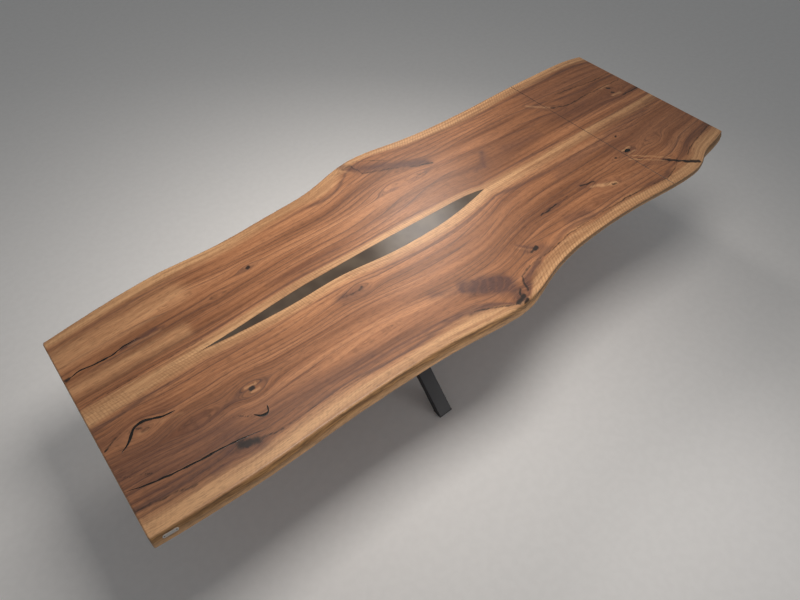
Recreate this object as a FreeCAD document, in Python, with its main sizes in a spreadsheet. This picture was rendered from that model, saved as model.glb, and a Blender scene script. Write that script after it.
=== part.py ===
"""Live-edge walnut dining table: resin inlay, slide-on end leaf and a steel spider base.

Frame: origin on the floor under the middle of the top, +X along the top towards the leaf,
+Y to the far side, +Z up. All sizes are in millimetres.
"""
import FreeCAD, Part
import math
import os

import Sketcher
from FreeCAD import Placement, Rotation, Vector

SIZES = {
    # the top
    "main_length": 2400,
    "leaf_length": 500,
    "half_width": 505,
    "slab_thickness": 45,
    "table_height": 760,
    "edge_flare": 16,
    "lower_arris": 5,
    "joint_offset": 12,
    "leaf_gap": 0.6,
    # the resin inlay in the centre joint
    "inlay_start": 406,
    "inlay_length": 1336,
    "inlay_far_depth": 27,
    "inlay_near_depth": 48,
    # natural cracks and the knot filled with black resin
    "fill_depth": 6,
    "crack_width": 8,
    "knot_length": 30,
    "knot_width": 19,
    "knot_from_seam": 27,
    "knot_from_joint": 206,
    # loose tenons across the centre joint
    "tenon_length": 120,
    "tenon_reach": 30,
    "tenon_thickness": 12,
    "tenon_margin": 40,
    "tenon_space": 80,
    # steel channels let into the underside
    "channel_width": 60,
    "channel_height": 16,
    "channel_wall": 4,
    "channel_length": 640,
    "channel_clearance": 0.5,
    "channel_screw_pitch": 540,
    # hexagon-headed wood screws
    "screw_diameter": 6,
    "screw_reach": 22,
    "screw_head_width": 10,
    "screw_head_height": 4,
    "screw_clearance": 0.5,
    # leaf bars and their guides
    "bar_size": 30,
    "bar_wall": 2,
    "bar_spacing": 500,
    "bar_insertion": 440,
    "bar_under_leaf": 430,
    "bar_clearance": 0.5,
    "bar_cap_thickness": 4,
    "bar_screw_inset": 70,
    "guide_length": 60,
    "guide_wall": 3,
    "guide_flange": 25,
    "guide_inner_inset": 390,
    "guide_outer_inset": 70,
    # aligning pins in the sawn end of the leaf
    "pin_diameter": 12,
    "pin_depth": 45,
    "pin_reach": 30,
    "pin_spacing": 660,
    "pin_clearance": 0.08,
    "pin_chamfer": 2,
    "bush_wall": 2,
    # the spider base
    "base_offset": 50,
    "cross_spread": 395,
    "long_spread": 650,
    "tube_width": 70,
    "tube_thickness": 30,
    "tube_wall": 3,
    "tube_corner": 4,
    "hub_wall": 5,
    "hub_height": 120,
    "hub_cap_thickness": 4,
    "flange_length": 160,
    "flange_width": 100,
    "flange_thickness": 6,
    "bolt_edge": 20,
    "bolt_diameter": 8,
    "bolt_reach": 20,
    "bolt_head_width": 13,
    "bolt_head_height": 5.3,
    "bolt_clearance": 0.5,
    "insert_diameter": 12,
    "insert_length": 24,
    "insert_clearance": 0.05,
    "foot_plate_thickness": 4,
    "glide_height": 4,
    "glide_inset": 3,
    # the bare plate on the near live edge
    "plate_length": 48,
    "plate_width": 12,
    "plate_thickness": 1.6,
    "plate_recess": 0.8,
    "plate_from_end": 56,
    "plate_pin_diameter": 3,
    "plate_pin_reach": 9,
    "plate_pin_head": 0.8,
    "plate_pin_inset": 6,
}

# Live edges from the left end to the right: share of the length, share of the half width
FAR_EDGE = [
    (0.0, 0.713), (0.08, 0.782), (0.155, 0.818), (0.238, 0.808), (0.317, 0.838), (0.403, 0.893),
    (0.44, 0.952), (0.493, 1.0), (0.564, 0.96), (0.66, 0.921), (0.81, 0.937), (0.907, 0.941),
    (0.974, 0.921), (1.0, 0.887),
]
NEAR_EDGE = [
    (0.0, 0.877), (0.052, 0.899), (0.138, 0.913), (0.232, 0.905), (0.302, 0.911), (0.374, 0.933),
    (0.448, 0.984), (0.49, 1.0), (0.514, 0.986), (0.548, 0.937), (0.6, 0.875), (0.686, 0.853),
    (0.753, 0.863), (0.84, 0.899), (0.888, 0.893), (0.908, 0.867), (0.93, 0.81), (0.958, 0.774),
    (1.0, 0.729),
]
# Inlay edges from its left tip to its right: share of its length, share of its depth
INLAY_FAR = [
    (0.0, 0.0), (0.12, 0.3), (0.3, 0.92), (0.42, 1.0), (0.67, 0.98), (0.83, 0.8), (0.95, 0.5), (1.0, 0.0),
]
INLAY_NEAR = [
    (0.0, 0.0), (0.17, 0.4), (0.29, 0.48), (0.42, 0.42), (0.58, 0.88), (0.7, 1.0), (0.8, 0.9),
    (0.92, 0.46), (1.0, 0.0),
]
# Filled cracks: distance from the left end, distance from the centre joint
FAR_CRACKS = [[(14, 158), (53, 169), (102, 164), (161, 162), (220, 173), (260, 175)]]
NEAR_CRACKS = [
    [(47, -180), (78, -161), (113, -126), (148, -124), (190, -142), (239, -149)],
    [(10, -298), (85, -319), (167, -334), (257, -344), (337, -353), (412, -368)],
    [(422, -309), (442, -328), (461, -329), (473, -305)],
]
# The bark seam on the leaf: distance from the leaf's sawn end, distance from the centre joint
BARK_SEAM = [(100, -337), (140, -374), (190, -424)]

doc = FreeCAD.newDocument("dining_table")
sheet = doc.addObject("Spreadsheet::Sheet", "sizes")
for row, (alias, number) in enumerate(SIZES.items(), start=1):
    sheet.set(f"A{row}", alias)
    sheet.set(f"B{row}", str(number))
    sheet.setAlias(f"B{row}", alias)
doc.recompute()

# Levels and places that several pieces share, as expressions on the sheet
UNDERSIDE = "(sizes.table_height - sizes.slab_thickness)"
MID_SLAB = "(sizes.table_height - sizes.slab_thickness / 2)"
LEFT_END = "(-(sizes.main_length + sizes.leaf_length) / 2)"
RIGHT_END = "((sizes.main_length + sizes.leaf_length) / 2)"
SEAM = "((sizes.main_length - sizes.leaf_length) / 2)"
INLAY_LEFT = f"({LEFT_END} + sizes.inlay_start)"
INLAY_RIGHT = f"({INLAY_LEFT} + sizes.inlay_length)"
BASE_MIDDLE = f"({LEFT_END} + sizes.main_length / 2 + sizes.base_offset)"
FLANGE_LEVEL = f"({UNDERSIDE} - sizes.flange_thickness)"
FOOT_LEVEL = "(sizes.glide_height + sizes.foot_plate_thickness)"
RISE = f"(({FLANGE_LEVEL} - {FOOT_LEVEL}) / 2)"
HUB_LEVEL = f"({FOOT_LEVEL} + {RISE})"
HUB_HALF = "(sizes.tube_width / 2)"

nodes = {}


def value(expression):
    """The number that an expression on the sheet gives."""
    return float(sheet.evalExpression(expression))


def keep(piece, label):
    """Name a finished sub-part and list it for writing."""
    piece.Label = label
    nodes[label] = piece
    return piece


def place(piece, x="0", y="0", z="0"):
    """Tie a piece's place to the sheet."""
    piece.setExpression("Placement.Base.x", x)
    piece.setExpression("Placement.Base.y", y)
    piece.setExpression("Placement.Base.z", z)


def sketch_on(body, role):
    """An empty sketch on one of the body's own origin planes."""
    plane = next(item for item in body.Origin.OriginFeatures if item.Role == role)
    sketch = body.newObject("Sketcher::SketchObject", body.Name + "_sketch")
    sketch.AttachmentSupport = [(plane, "")]
    sketch.MapMode = "FlatFace"
    return sketch


def bind(sketch, constraint, expression):
    """Add a dimension and tie it to the sheet."""
    index = sketch.addConstraint(constraint)
    sketch.setExpression(f"Constraints[{index}]", expression)


def polygon(body, role, corners):
    """A closed sketch of straight lines; every corner is given by two expressions."""
    sketch = sketch_on(body, role)
    points = [(value(across), value(up)) for across, up in corners]
    count = len(points)
    for index, start in enumerate(points):
        end = points[(index + 1) % count]
        sketch.addGeometry(Part.LineSegment(Vector(*start, 0), Vector(*end, 0)))
    for index in range(count):
        sketch.addConstraint(Sketcher.Constraint("Coincident", index, 2, (index + 1) % count, 1))
    for index, (across, up) in enumerate(corners):
        start = points[index]
        bind(sketch, Sketcher.Constraint("DistanceX", -1, 1, index, 1, start[0]), across)
        bind(sketch, Sketcher.Constraint("DistanceY", -1, 1, index, 1, start[1]), up)
    return sketch


def rectangle(body, role, length, width):
    """A closed rectangle about the sketch's origin."""
    across = f"({length}) / 2"
    up = f"({width}) / 2"
    corners = [(f"-{across}", f"-{up}"), (across, f"-{up}"), (across, up), (f"-{across}", up)]
    return polygon(body, role, corners)


def slot(body, role, length, width):
    """A closed slot about the sketch's origin: two lines and two half circles."""
    sketch = sketch_on(body, role)
    radius = value(f"({width}) / 2")
    reach = value(f"({length}) / 2") - radius
    up = Vector(0, 0, 1)
    right = Part.Circle(Vector(reach, 0, 0), up, radius)
    left = Part.Circle(Vector(-reach, 0, 0), up, radius)
    sketch.addGeometry(Part.LineSegment(Vector(-reach, -radius, 0), Vector(reach, -radius, 0)))
    sketch.addGeometry(Part.ArcOfCircle(right, -math.pi / 2, math.pi / 2))
    sketch.addGeometry(Part.LineSegment(Vector(reach, radius, 0), Vector(-reach, radius, 0)))
    sketch.addGeometry(Part.ArcOfCircle(left, math.pi / 2, 3 * math.pi / 2))
    for first, first_end, second, second_end in ((0, 2, 1, 1), (1, 2, 2, 1), (2, 2, 3, 1), (3, 2, 0, 1)):
        sketch.addConstraint(Sketcher.Constraint("Tangent", first, first_end, second, second_end))
    sketch.addConstraint(Sketcher.Constraint("Horizontal", 0))
    sketch.addConstraint(Sketcher.Constraint("Symmetric", 1, 3, 3, 3, -1, 1))
    bind(sketch, Sketcher.Constraint("Radius", 1, radius), f"({width}) / 2")
    bind(sketch, Sketcher.Constraint("DistanceX", 3, 3, 1, 3, 2 * reach), f"({length}) - ({width})")
    return sketch


def circles(body, role, centres, diameter):
    """A sketch of equal circles; every centre is given by two expressions."""
    sketch = sketch_on(body, role)
    for index, (across, up) in enumerate(centres):
        centre = Vector(value(across), value(up), 0)
        sketch.addGeometry(Part.Circle(centre, Vector(0, 0, 1), value(diameter) / 2))
        bind(sketch, Sketcher.Constraint("DistanceX", -1, 1, index, 3, centre.x), across)
        bind(sketch, Sketcher.Constraint("DistanceY", -1, 1, index, 3, centre.y), up)
        bind(sketch, Sketcher.Constraint("Diameter", index, value(diameter)), diameter)
    return sketch


def new_body(label):
    """An empty body for one sub-part."""
    return doc.addObject("PartDesign::Body", label)


def pad(body, sketch, length, side="One side", backwards=False):
    """Raise a sketch into a solid."""
    feature = body.newObject("PartDesign::Pad", body.Name + "_pad")
    feature.Profile = sketch
    feature.SideType = side
    feature.Reversed = backwards
    feature.setExpression("Length", length)
    doc.recompute()
    return feature


def pocket(body, sketch, length, side="One side", backwards=False):
    """Cut a sketch out of the body, and make sure that the cut takes something away."""
    before = body.Shape.Volume
    feature = body.newObject("PartDesign::Pocket", body.Name + "_pocket")
    feature.Profile = sketch
    feature.SideType = side
    feature.Reversed = backwards
    feature.setExpression("Length", length)
    doc.recompute()
    if body.Shape.Volume >= before:
        raise RuntimeError(f"{body.Name}: a pocket cuts nothing")
    return feature


def round_edges(body, chosen, radius):
    """Fillet the edges of the body's last feature that the test picks."""
    tip = body.Tip
    names = [f"Edge{number}" for number, edge in enumerate(tip.Shape.Edges, start=1) if chosen(edge)]
    feature = body.newObject("PartDesign::Fillet", body.Name + "_fillet")
    feature.Base = (tip, names)
    feature.setExpression("Radius", radius)
    doc.recompute()
    return feature


def along(direction):
    """A test for straight edges that run along a direction."""

    def chosen(edge):
        if not isinstance(edge.Curve, Part.Line):
            return False
        return abs(edge.tangentAt(edge.FirstParameter).dot(direction)) > 0.9999

    return chosen


def turned(label, profile):
    """A turned piece: a closed half profile of radius and height, revolved about Z."""
    body = new_body(label)
    sketch = polygon(body, "XZ_Plane", profile)
    feature = body.newObject("PartDesign::Revolution", label + "_turn")
    feature.Profile = sketch
    feature.ReferenceAxis = (sketch, ["V_Axis"])
    feature.Angle = 360
    doc.recompute()
    return body


def hexagon(body, role, corner):
    """A closed hexagon about the sketch's origin, given by the distance of its corners."""
    flat = f"({corner}) * sqrt(3) / 2"
    half = f"({corner}) / 2"
    return polygon(body, role, [
        (corner, "0"), (half, flat), (f"-{half}", flat), (f"-({corner})", "0"), (f"-{half}", f"-{flat}"),
        (half, f"-{flat}"),
    ])


def hex_fastener(label, head_width, head_height, diameter, reach):
    """A screw or bolt that points up: a hexagon head and, for its thread, a six-sided shank."""
    body = new_body(label)
    pad(body, hexagon(body, "XY_Plane", f"{head_width} / sqrt(3)"), head_height, backwards=True)
    pad(body, hexagon(body, "XY_Plane", f"{diameter} / 2"), reach)
    return body


def group(label, master, places):
    """One node of equal pieces: a copy of the master's shape at every place."""
    copies = []
    for spot in places:
        copy = master.Shape.copy()
        copy.Placement = spot
        copies.append(copy)
    piece = doc.addObject("Part::Feature", label)
    piece.Shape = Part.makeCompound(copies)
    return keep(piece, label)


def bores(label, section, places, length):
    """Equal bores: a flat section, raised along its own Z at every place."""
    solid = Part.Face(section).extrude(Vector(0, 0, value(length)))
    copies = []
    for place_of_bore in places:
        copy = solid.copy()
        copy.Placement = place_of_bore
        copies.append(copy)
    piece = doc.addObject("Part::Feature", label)
    piece.Shape = Part.makeCompound(copies)
    return piece


def round_bores(label, places, diameter, length):
    """Equal round bores that start at each place."""
    rim = Part.Wire(Part.makeCircle(value(diameter) / 2))
    return bores(label, rim, places, length)


def thread_bores(label, places, diameter, length):
    """Equal six-sided bores for the shanks that stand for threads."""
    turns = [Rotation(Vector(0, 0, 1), 60 * side) for side in range(7)]
    corners = [turn.multVec(Vector(value(diameter) / 2, 0, 0)) for turn in turns]
    return bores(label, Part.makePolygon(corners), places, length)


def block(label, low, size):
    """A box whose lowest corner and three sides are expressions."""
    piece = doc.addObject("Part::Box", label)
    for side, expression in zip(("Length", "Width", "Height"), size):
        piece.setExpression(side, expression)
    place(piece, *low)
    return piece


def spot(x, y, z, turn=None):
    """A place from three expressions, upright unless a turn is given."""
    return Placement(Vector(value(x), value(y), value(z)), turn or Rotation())


def curve(points):
    """A smooth edge through a list of points."""
    line = Part.BSplineCurve()
    line.interpolate(points)
    return line.toShape()


# The slab blank: three outlines joined by ruled faces, flaring outwards to the bark side below
LENGTH = value("sizes.main_length + sizes.leaf_length")
HALF_WIDTH = value("sizes.half_width")
START = value(LEFT_END)


def live_edge(shares, side, outset, level):
    """The points of one live edge at a level, moved outwards by an outset."""
    points = []
    for along_x, out in shares:
        points.append(Vector(START + along_x * LENGTH, side * (out * HALF_WIDTH + outset), level))
    return points


def outline(outset, level):
    """A closed outline of the top: near edge, right end, far edge, left end."""
    near = live_edge(NEAR_EDGE, -1, outset, level)
    far = live_edge(FAR_EDGE, 1, outset, level)
    right_end = Part.makeLine(near[-1], far[-1])
    left_end = Part.makeLine(far[0], near[0])
    return Part.Wire([curve(near), right_end, curve(far[::-1]), left_end])


flare = value("sizes.edge_flare")
arris = value("sizes.lower_arris")
underside = value(UNDERSIDE)
top_level = value("sizes.table_height")
slab_blank = doc.addObject("Part::Feature", "slab_blank")
slab_outlines = [
    outline(flare - arris, underside), outline(flare, underside + arris), outline(0, top_level),
]
slab_blank.Shape = Part.makeLoft(slab_outlines, True, True)

# The resin inlay: a lens between two smooth edges, cast through the full thickness
inlay_x = value(INLAY_LEFT)
inlay_length = value("sizes.inlay_length")
joint_y = value("sizes.joint_offset")


def inlay_edge(shares, depth):
    """One edge of the inlay at the underside."""
    points = [Vector(inlay_x + a * inlay_length, joint_y + b * depth, underside) for a, b in shares]
    return curve(points)


inlay_wire = Part.Wire([
    inlay_edge(INLAY_FAR, value("sizes.inlay_far_depth")),
    inlay_edge(INLAY_NEAR, -value("sizes.inlay_near_depth")),
])
resin_inlay = doc.addObject("Part::Feature", "resin_inlay")
resin_inlay.Shape = Part.Face(inlay_wire).extrude(Vector(0, 0, value("sizes.slab_thickness")))
keep(resin_inlay, "resin_inlay")


# Black resin in natural cracks: a jagged strip that swells from one tip and thins to the other
def crack(points, start):
    """A crack fill along a smooth path, widest in the middle, poured from the top face."""
    path = curve([Vector(start + x, joint_y + y, top_level) for x, y in points])
    stations = 6
    far_side = []
    near_side = []
    for index in range(stations + 1):
        share = index / stations
        parameter = path.FirstParameter + share * (path.LastParameter - path.FirstParameter)
        across = path.tangentAt(parameter).cross(Vector(0, 0, 1))
        half = value("sizes.crack_width") / 2 * math.sin(math.pi * share)
        far_side.append(path.valueAt(parameter) - across * half)
        near_side.append(path.valueAt(parameter) + across * half)
    rim = far_side + near_side[-2:0:-1] + far_side[:1]
    face = Part.Face(Part.makePolygon(rim))
    return face.extrude(Vector(0, 0, -value("sizes.fill_depth")))


def fills(label, solids):
    """One node of poured fills."""
    piece = doc.addObject("Part::Feature", label)
    piece.Shape = Part.makeCompound(solids)
    return keep(piece, label)


crack_fill_far = fills("crack_fill_far", [crack(points, START) for points in FAR_CRACKS])
crack_fills_near = fills("crack_fills_near", [crack(points, START) for points in NEAR_CRACKS])
knot_x = value(f"{SEAM} + sizes.knot_from_seam")
knot_y = joint_y - value("sizes.knot_from_joint")
knot_half = value("sizes.knot_length / 2")
knot_rim = Part.Ellipse(Vector(knot_x, knot_y, top_level), knot_half, value("sizes.knot_width / 2"))
knot_fill = Part.Face(Part.Wire(knot_rim.toShape())).extrude(Vector(0, 0, -value("sizes.fill_depth")))
leaf_knot_fills = fills("leaf_knot_fills", [knot_fill, crack(BARK_SEAM, value(SEAM))])

# Loose tenons: flat tongues across the centre joint, between the channels' grooves and the top
TENON_LEVEL = "(sizes.table_height - (sizes.slab_thickness - sizes.channel_height) / 2)"
tenon_master = new_body("tenon_master")
pad(tenon_master, rectangle(tenon_master, "XZ_Plane", "sizes.tenon_length", "sizes.tenon_thickness"),
    "2 * sizes.tenon_reach", "Symmetric")


def tenon_spots(low, high):
    """Even places for as many tenons as a glued stretch of the joint takes."""
    first = value(f"{low} + sizes.tenon_margin + sizes.tenon_length / 2")
    last = value(f"{high} - sizes.tenon_margin - sizes.tenon_length / 2")
    count = 1 + int((last - first) // value("sizes.tenon_length + sizes.tenon_space"))
    spots = []
    for index in range(count):
        share = index / (count - 1) if count > 1 else 0.5
        centre = Vector(first + share * (last - first), joint_y, value(TENON_LEVEL))
        spots.append(Placement(centre, Rotation()))
    return spots


main_tenon_spots = tenon_spots(LEFT_END, INLAY_LEFT) + tenon_spots(INLAY_RIGHT, SEAM)
joint_tenons = group("joint_tenons", tenon_master, main_tenon_spots)
leaf_joint_tenons = group("leaf_joint_tenons", tenon_master, tenon_spots(SEAM, RIGHT_END))

# Stiffeners: steel channels let into the underside, web up, each held by two wood screws
wood_screw = hex_fastener("wood_screw", "sizes.screw_head_width", "sizes.screw_head_height",
                          "sizes.screw_diameter", "sizes.screw_reach")
STIFFENERS = {
    "stiffener_left": f"({LEFT_END} + {INLAY_LEFT}) / 2",
    "stiffener_right": f"({INLAY_RIGHT} + {SEAM}) / 2",
    "leaf_stiffener": f"({SEAM} + {RIGHT_END}) / 2",
}
CHANNEL_SCREWS = ["-sizes.channel_screw_pitch / 2", "sizes.channel_screw_pitch / 2"]
WEB_BELOW = f"({UNDERSIDE} + sizes.channel_height - sizes.channel_wall)"
cutters = [resin_inlay, crack_fill_far, crack_fills_near, leaf_knot_fills, joint_tenons, leaf_joint_tenons]
channel_screw_spots = {}
for label, middle in STIFFENERS.items():
    channel = new_body(label)
    half = "sizes.channel_width / 2"
    inside = f"({half} - sizes.channel_wall)"
    web = "(sizes.channel_height - sizes.channel_wall)"
    pad(channel, polygon(channel, "XZ_Plane", [
        (f"-{half}", "0"), (f"-{inside}", "0"), (f"-{inside}", web), (inside, web), (inside, "0"),
        (half, "0"), (half, "sizes.channel_height"), (f"-{half}", "sizes.channel_height"),
    ]), "sizes.channel_length", "Symmetric")
    holes = circles(channel, "XY_Plane", [("0", y) for y in CHANNEL_SCREWS],
                    "sizes.screw_diameter + 2 * sizes.screw_clearance")
    pocket(channel, holes, "sizes.channel_height", backwards=True)
    place(channel, x=middle, z=UNDERSIDE)
    keep(channel, label)
    room = "sizes.channel_clearance"
    cutters.append(block(
        label + "_groove",
        (f"{middle} - {half} - {room}", f"-sizes.channel_length / 2 - {room}", UNDERSIDE),
        (f"sizes.channel_width + 2 * {room}", f"sizes.channel_length + 2 * {room}", "sizes.channel_height"),
    ))
    channel_screw_spots[label] = [spot(middle, y, WEB_BELOW) for y in CHANNEL_SCREWS]
main_channel_screws = channel_screw_spots["stiffener_left"] + channel_screw_spots["stiffener_right"]
group("stiffener_screws", wood_screw, main_channel_screws)
group("leaf_stiffener_screws", wood_screw, channel_screw_spots["leaf_stiffener"])
pilot_spots = main_channel_screws + channel_screw_spots["leaf_stiffener"]

# Leaf bars: square tubes screwed under the leaf, each with a plastic cap in both ends
BAR_SIDES = {"far": "sizes.bar_spacing / 2", "near": "-sizes.bar_spacing / 2"}
BAR_LENGTH = "(sizes.bar_insertion + sizes.bar_under_leaf)"
BAR_SCREWS = ["sizes.bar_screw_inset", "sizes.bar_under_leaf - sizes.bar_screw_inset"]
SCREW_ACCESS = "2 * sizes.screw_head_width / sqrt(3) + 2 * sizes.screw_clearance"
BAR_START = f"({SEAM} - sizes.bar_insertion)"
BAR_SEAT = f"({UNDERSIDE} - sizes.bar_wall)"
BAR_INSIDE = "(sizes.bar_size - 2 * sizes.bar_wall)"
bar_screw_spots = []
for side, offset in BAR_SIDES.items():
    bar = new_body(f"leaf_bar_{side}")
    pad(bar, rectangle(bar, "YZ_Plane", "sizes.bar_size", "sizes.bar_size"), BAR_LENGTH)
    pocket(bar, rectangle(bar, "YZ_Plane", BAR_INSIDE, BAR_INSIDE), BAR_LENGTH, backwards=True)
    centres = [(f"sizes.bar_insertion + {x}", "0") for x in BAR_SCREWS]
    pocket(bar, circles(bar, "XY_Plane", centres, "sizes.screw_diameter + 2 * sizes.screw_clearance"),
           "sizes.bar_size", backwards=True)
    pocket(bar, circles(bar, "XY_Plane", centres, SCREW_ACCESS), "sizes.bar_size")
    place(bar, x=BAR_START, y=offset, z=f"{UNDERSIDE} - sizes.bar_size / 2")
    keep(bar, f"leaf_bar_{side}")
    bar_screw_spots += [spot(f"{SEAM} + {x}", offset, BAR_SEAT) for x in BAR_SCREWS]
group("leaf_bar_screws", wood_screw, bar_screw_spots)
pilot_spots += bar_screw_spots
bar_cap = new_body("bar_cap_master")
pad(bar_cap, rectangle(bar_cap, "YZ_Plane", BAR_INSIDE, BAR_INSIDE), "sizes.bar_cap_thickness")
BAR_AXIS = f"({UNDERSIDE} - sizes.bar_size / 2)"
BAR_CAPS = [BAR_START, f"{BAR_START} + {BAR_LENGTH} - sizes.bar_cap_thickness"]
for side, offset in BAR_SIDES.items():
    group(f"leaf_bar_cap_{side}", bar_cap, [spot(x, offset, BAR_AXIS) for x in BAR_CAPS])

# Bar guides: hat sections screwed to the underside of the main top, open towards the wood
GUIDE_PLACES = {"inner": "sizes.guide_inner_inset", "outer": "sizes.guide_outer_inset"}
inside = "(sizes.bar_size / 2 + sizes.bar_clearance)"
outside = f"({inside} + sizes.guide_wall)"
brim = f"({outside} + sizes.guide_flange)"
floor_inside = "-(sizes.bar_size + sizes.bar_clearance)"
floor_outside = f"({floor_inside} - sizes.guide_wall)"
GUIDE_SCREW = f"({outside} + sizes.guide_flange / 2)"
GUIDE_SEAT = f"({UNDERSIDE} - sizes.guide_wall)"
guide_screw_spots = []
for side, offset in BAR_SIDES.items():
    for end, inset in GUIDE_PLACES.items():
        guide = new_body(f"guide_{side}_{end}")
        pad(guide, polygon(guide, "YZ_Plane", [
            (f"-{brim}", "0"), (f"-{brim}", "-sizes.guide_wall"), (f"-{outside}", "-sizes.guide_wall"),
            (f"-{outside}", floor_outside), (outside, floor_outside), (outside, "-sizes.guide_wall"),
            (brim, "-sizes.guide_wall"), (brim, "0"), (inside, "0"), (inside, floor_inside),
            (f"-{inside}", floor_inside), (f"-{inside}", "0"),
        ]), "sizes.guide_length", "Symmetric")
        pocket(guide, circles(guide, "XY_Plane", [("0", GUIDE_SCREW), ("0", f"-{GUIDE_SCREW}")],
                              "sizes.screw_diameter + 2 * sizes.screw_clearance"), "sizes.guide_wall")
        middle = f"{SEAM} - {inset}"
        place(guide, x=middle, y=offset, z=UNDERSIDE)
        keep(guide, f"guide_{side}_{end}")
        for sign in ("+", "-"):
            guide_screw_spots.append(spot(middle, f"{offset} {sign} {GUIDE_SCREW}", GUIDE_SEAT))
group("guide_screws", wood_screw, guide_screw_spots)
pilot_spots += guide_screw_spots
cutters.append(thread_bores("screw_pilots", pilot_spots, "sizes.screw_diameter", "sizes.screw_reach"))

# Aligning pins in the leaf's sawn end, and the brass bushes in the main top that they enter
TO_RIGHT = Rotation(Vector(0, 1, 0), 90)
PIN_SIDES = ("sizes.pin_spacing / 2", "-sizes.pin_spacing / 2")
PIN_RADIUS = "(sizes.pin_diameter / 2)"
BUSH_BORE = f"({PIN_RADIUS} + sizes.pin_clearance)"
BUSH_RADIUS = f"({BUSH_BORE} + sizes.bush_wall)"
BUSH_LENGTH = "(sizes.pin_reach + sizes.pin_chamfer)"
pin_master = turned("pin_master", [
    ("0", "-sizes.pin_reach"), (f"{PIN_RADIUS} - sizes.pin_chamfer", "-sizes.pin_reach"),
    (PIN_RADIUS, "-sizes.pin_reach + sizes.pin_chamfer"), (PIN_RADIUS, "sizes.pin_depth"),
    ("0", "sizes.pin_depth"),
])
pin_seats = [spot(SEAM, y, MID_SLAB, TO_RIGHT) for y in PIN_SIDES]
group("leaf_pins", pin_master, pin_seats)
cutters.append(round_bores("pin_seats", pin_seats, "sizes.pin_diameter", "sizes.pin_depth"))
bush_master = turned("bush_master", [
    (BUSH_BORE, "0"), (BUSH_RADIUS, "0"), (BUSH_RADIUS, BUSH_LENGTH), (BUSH_BORE, BUSH_LENGTH),
])
bush_seats = [spot(f"{SEAM} - {BUSH_LENGTH}", y, MID_SLAB, TO_RIGHT) for y in PIN_SIDES]
group("pin_bushes", bush_master, bush_seats)
cutters.append(round_bores("bush_seats", bush_seats, f"2 * {BUSH_RADIUS}", BUSH_LENGTH))


# Spider base: crossed rectangular tubes, welded to the faces of a square hub
def arm_profile(spread, across, upwards, thickness, overrun):
    """The side view of a slanting tube from the hub's face to a level cut at its outer end."""
    slant = f"sqrt({spread} * {spread} + {RISE} * {RISE})"
    upright = f"({thickness}) / 2 * {slant} / {spread}"
    level = f"({thickness}) / 2 * {slant} / {RISE}"
    start = f"({HUB_HALF} - {overrun})"
    centre = f"{HUB_LEVEL} + {upwards} * {start} * {RISE} / {spread}"
    end = f"{HUB_LEVEL} + {upwards} * ({RISE} + {overrun})"
    reach = f"({spread} + {overrun} * {spread} / {RISE})"
    return [
        (f"{across} * {start}", f"{centre} + {upright}"),
        (f"{across} * {start}", f"{centre} - {upright}"),
        (f"{across} * ({reach} + {upwards} * {level})", end),
        (f"{across} * ({reach} - {upwards} * {level})", end),
    ]


def arm(label, plane, spread, across, upwards):
    """One hollow tube of the base, with rounded corners along its length."""
    body = new_body(label)
    pad(body, polygon(body, plane, arm_profile(spread, across, upwards, "sizes.tube_thickness", "0")),
        "sizes.tube_width", "Symmetric")
    run = across * value(spread)
    lift = upwards * value(RISE)
    direction = Vector(0, run, lift) if plane == "YZ_Plane" else Vector(run, 0, lift)
    round_edges(body, along(direction.normalize()), "sizes.tube_corner")
    bore = "sizes.tube_thickness - 2 * sizes.tube_wall"
    core = arm_profile(spread, across, upwards, bore, "sizes.tube_wall")
    pocket(body, polygon(body, plane, core), "sizes.tube_width - 2 * sizes.tube_wall", "Symmetric")
    place(body, x=BASE_MIDDLE)
    return keep(body, label)


def plate(label, length, width, thickness, holes=None):
    """A flat plate on XY with optional bolt holes."""
    body = new_body(label)
    pad(body, rectangle(body, "XY_Plane", length, width), thickness)
    if holes:
        pocket(body, circles(body, "XY_Plane", holes, "sizes.bolt_diameter + 2 * sizes.bolt_clearance"),
               thickness, backwards=True)
    return keep(body, label)


ARMS = {
    "near": ("YZ_Plane", "sizes.cross_spread", -1),
    "far": ("YZ_Plane", "sizes.cross_spread", 1),
    "left": ("XZ_Plane", "sizes.long_spread", -1),
    "right": ("XZ_Plane", "sizes.long_spread", 1),
}
BOLT_REACH = "(sizes.flange_length / 2 - sizes.bolt_edge)"
BOLT_CENTRES = [(f"-{BOLT_REACH}", "0"), (BOLT_REACH, "0")]
bolt_spots = []
for side, (plane, spread, across) in ARMS.items():
    arm(f"lower_leg_{side}", plane, spread, across, -1)
    arm(f"upper_arm_{side}", plane, spread, across, 1)
    lengthwise = plane == "XZ_Plane"
    end_x = f"{BASE_MIDDLE} + {across} * {spread}" if lengthwise else BASE_MIDDLE
    end_y = "0" if lengthwise else f"{across} * {spread}"
    cut_length = f"(sizes.tube_thickness * sqrt({spread} * {spread} + {RISE} * {RISE}) / {RISE})"
    turn = Rotation(Vector(0, 0, 1), 90 if lengthwise else 0)
    flange = plate(f"flange_{side}", "sizes.flange_length", "sizes.flange_width", "sizes.flange_thickness",
                   BOLT_CENTRES)
    foot = plate(f"foot_plate_{side}", "sizes.tube_width", cut_length, "sizes.foot_plate_thickness")
    glide = plate(f"foot_glide_{side}", "sizes.tube_width - 2 * sizes.glide_inset",
                  f"{cut_length} - 2 * sizes.glide_inset", "sizes.glide_height")
    for piece, level in ((flange, FLANGE_LEVEL), (foot, "sizes.glide_height"), (glide, "0")):
        piece.Placement = Placement(Vector(), turn)
        place(piece, end_x, end_y, level)
    end = Placement(Vector(value(end_x), value(end_y), value(FLANGE_LEVEL)), turn)
    for a, b in BOLT_CENTRES:
        bolt_spots.append(end * Placement(Vector(value(a), value(b), 0), Rotation()))

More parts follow.
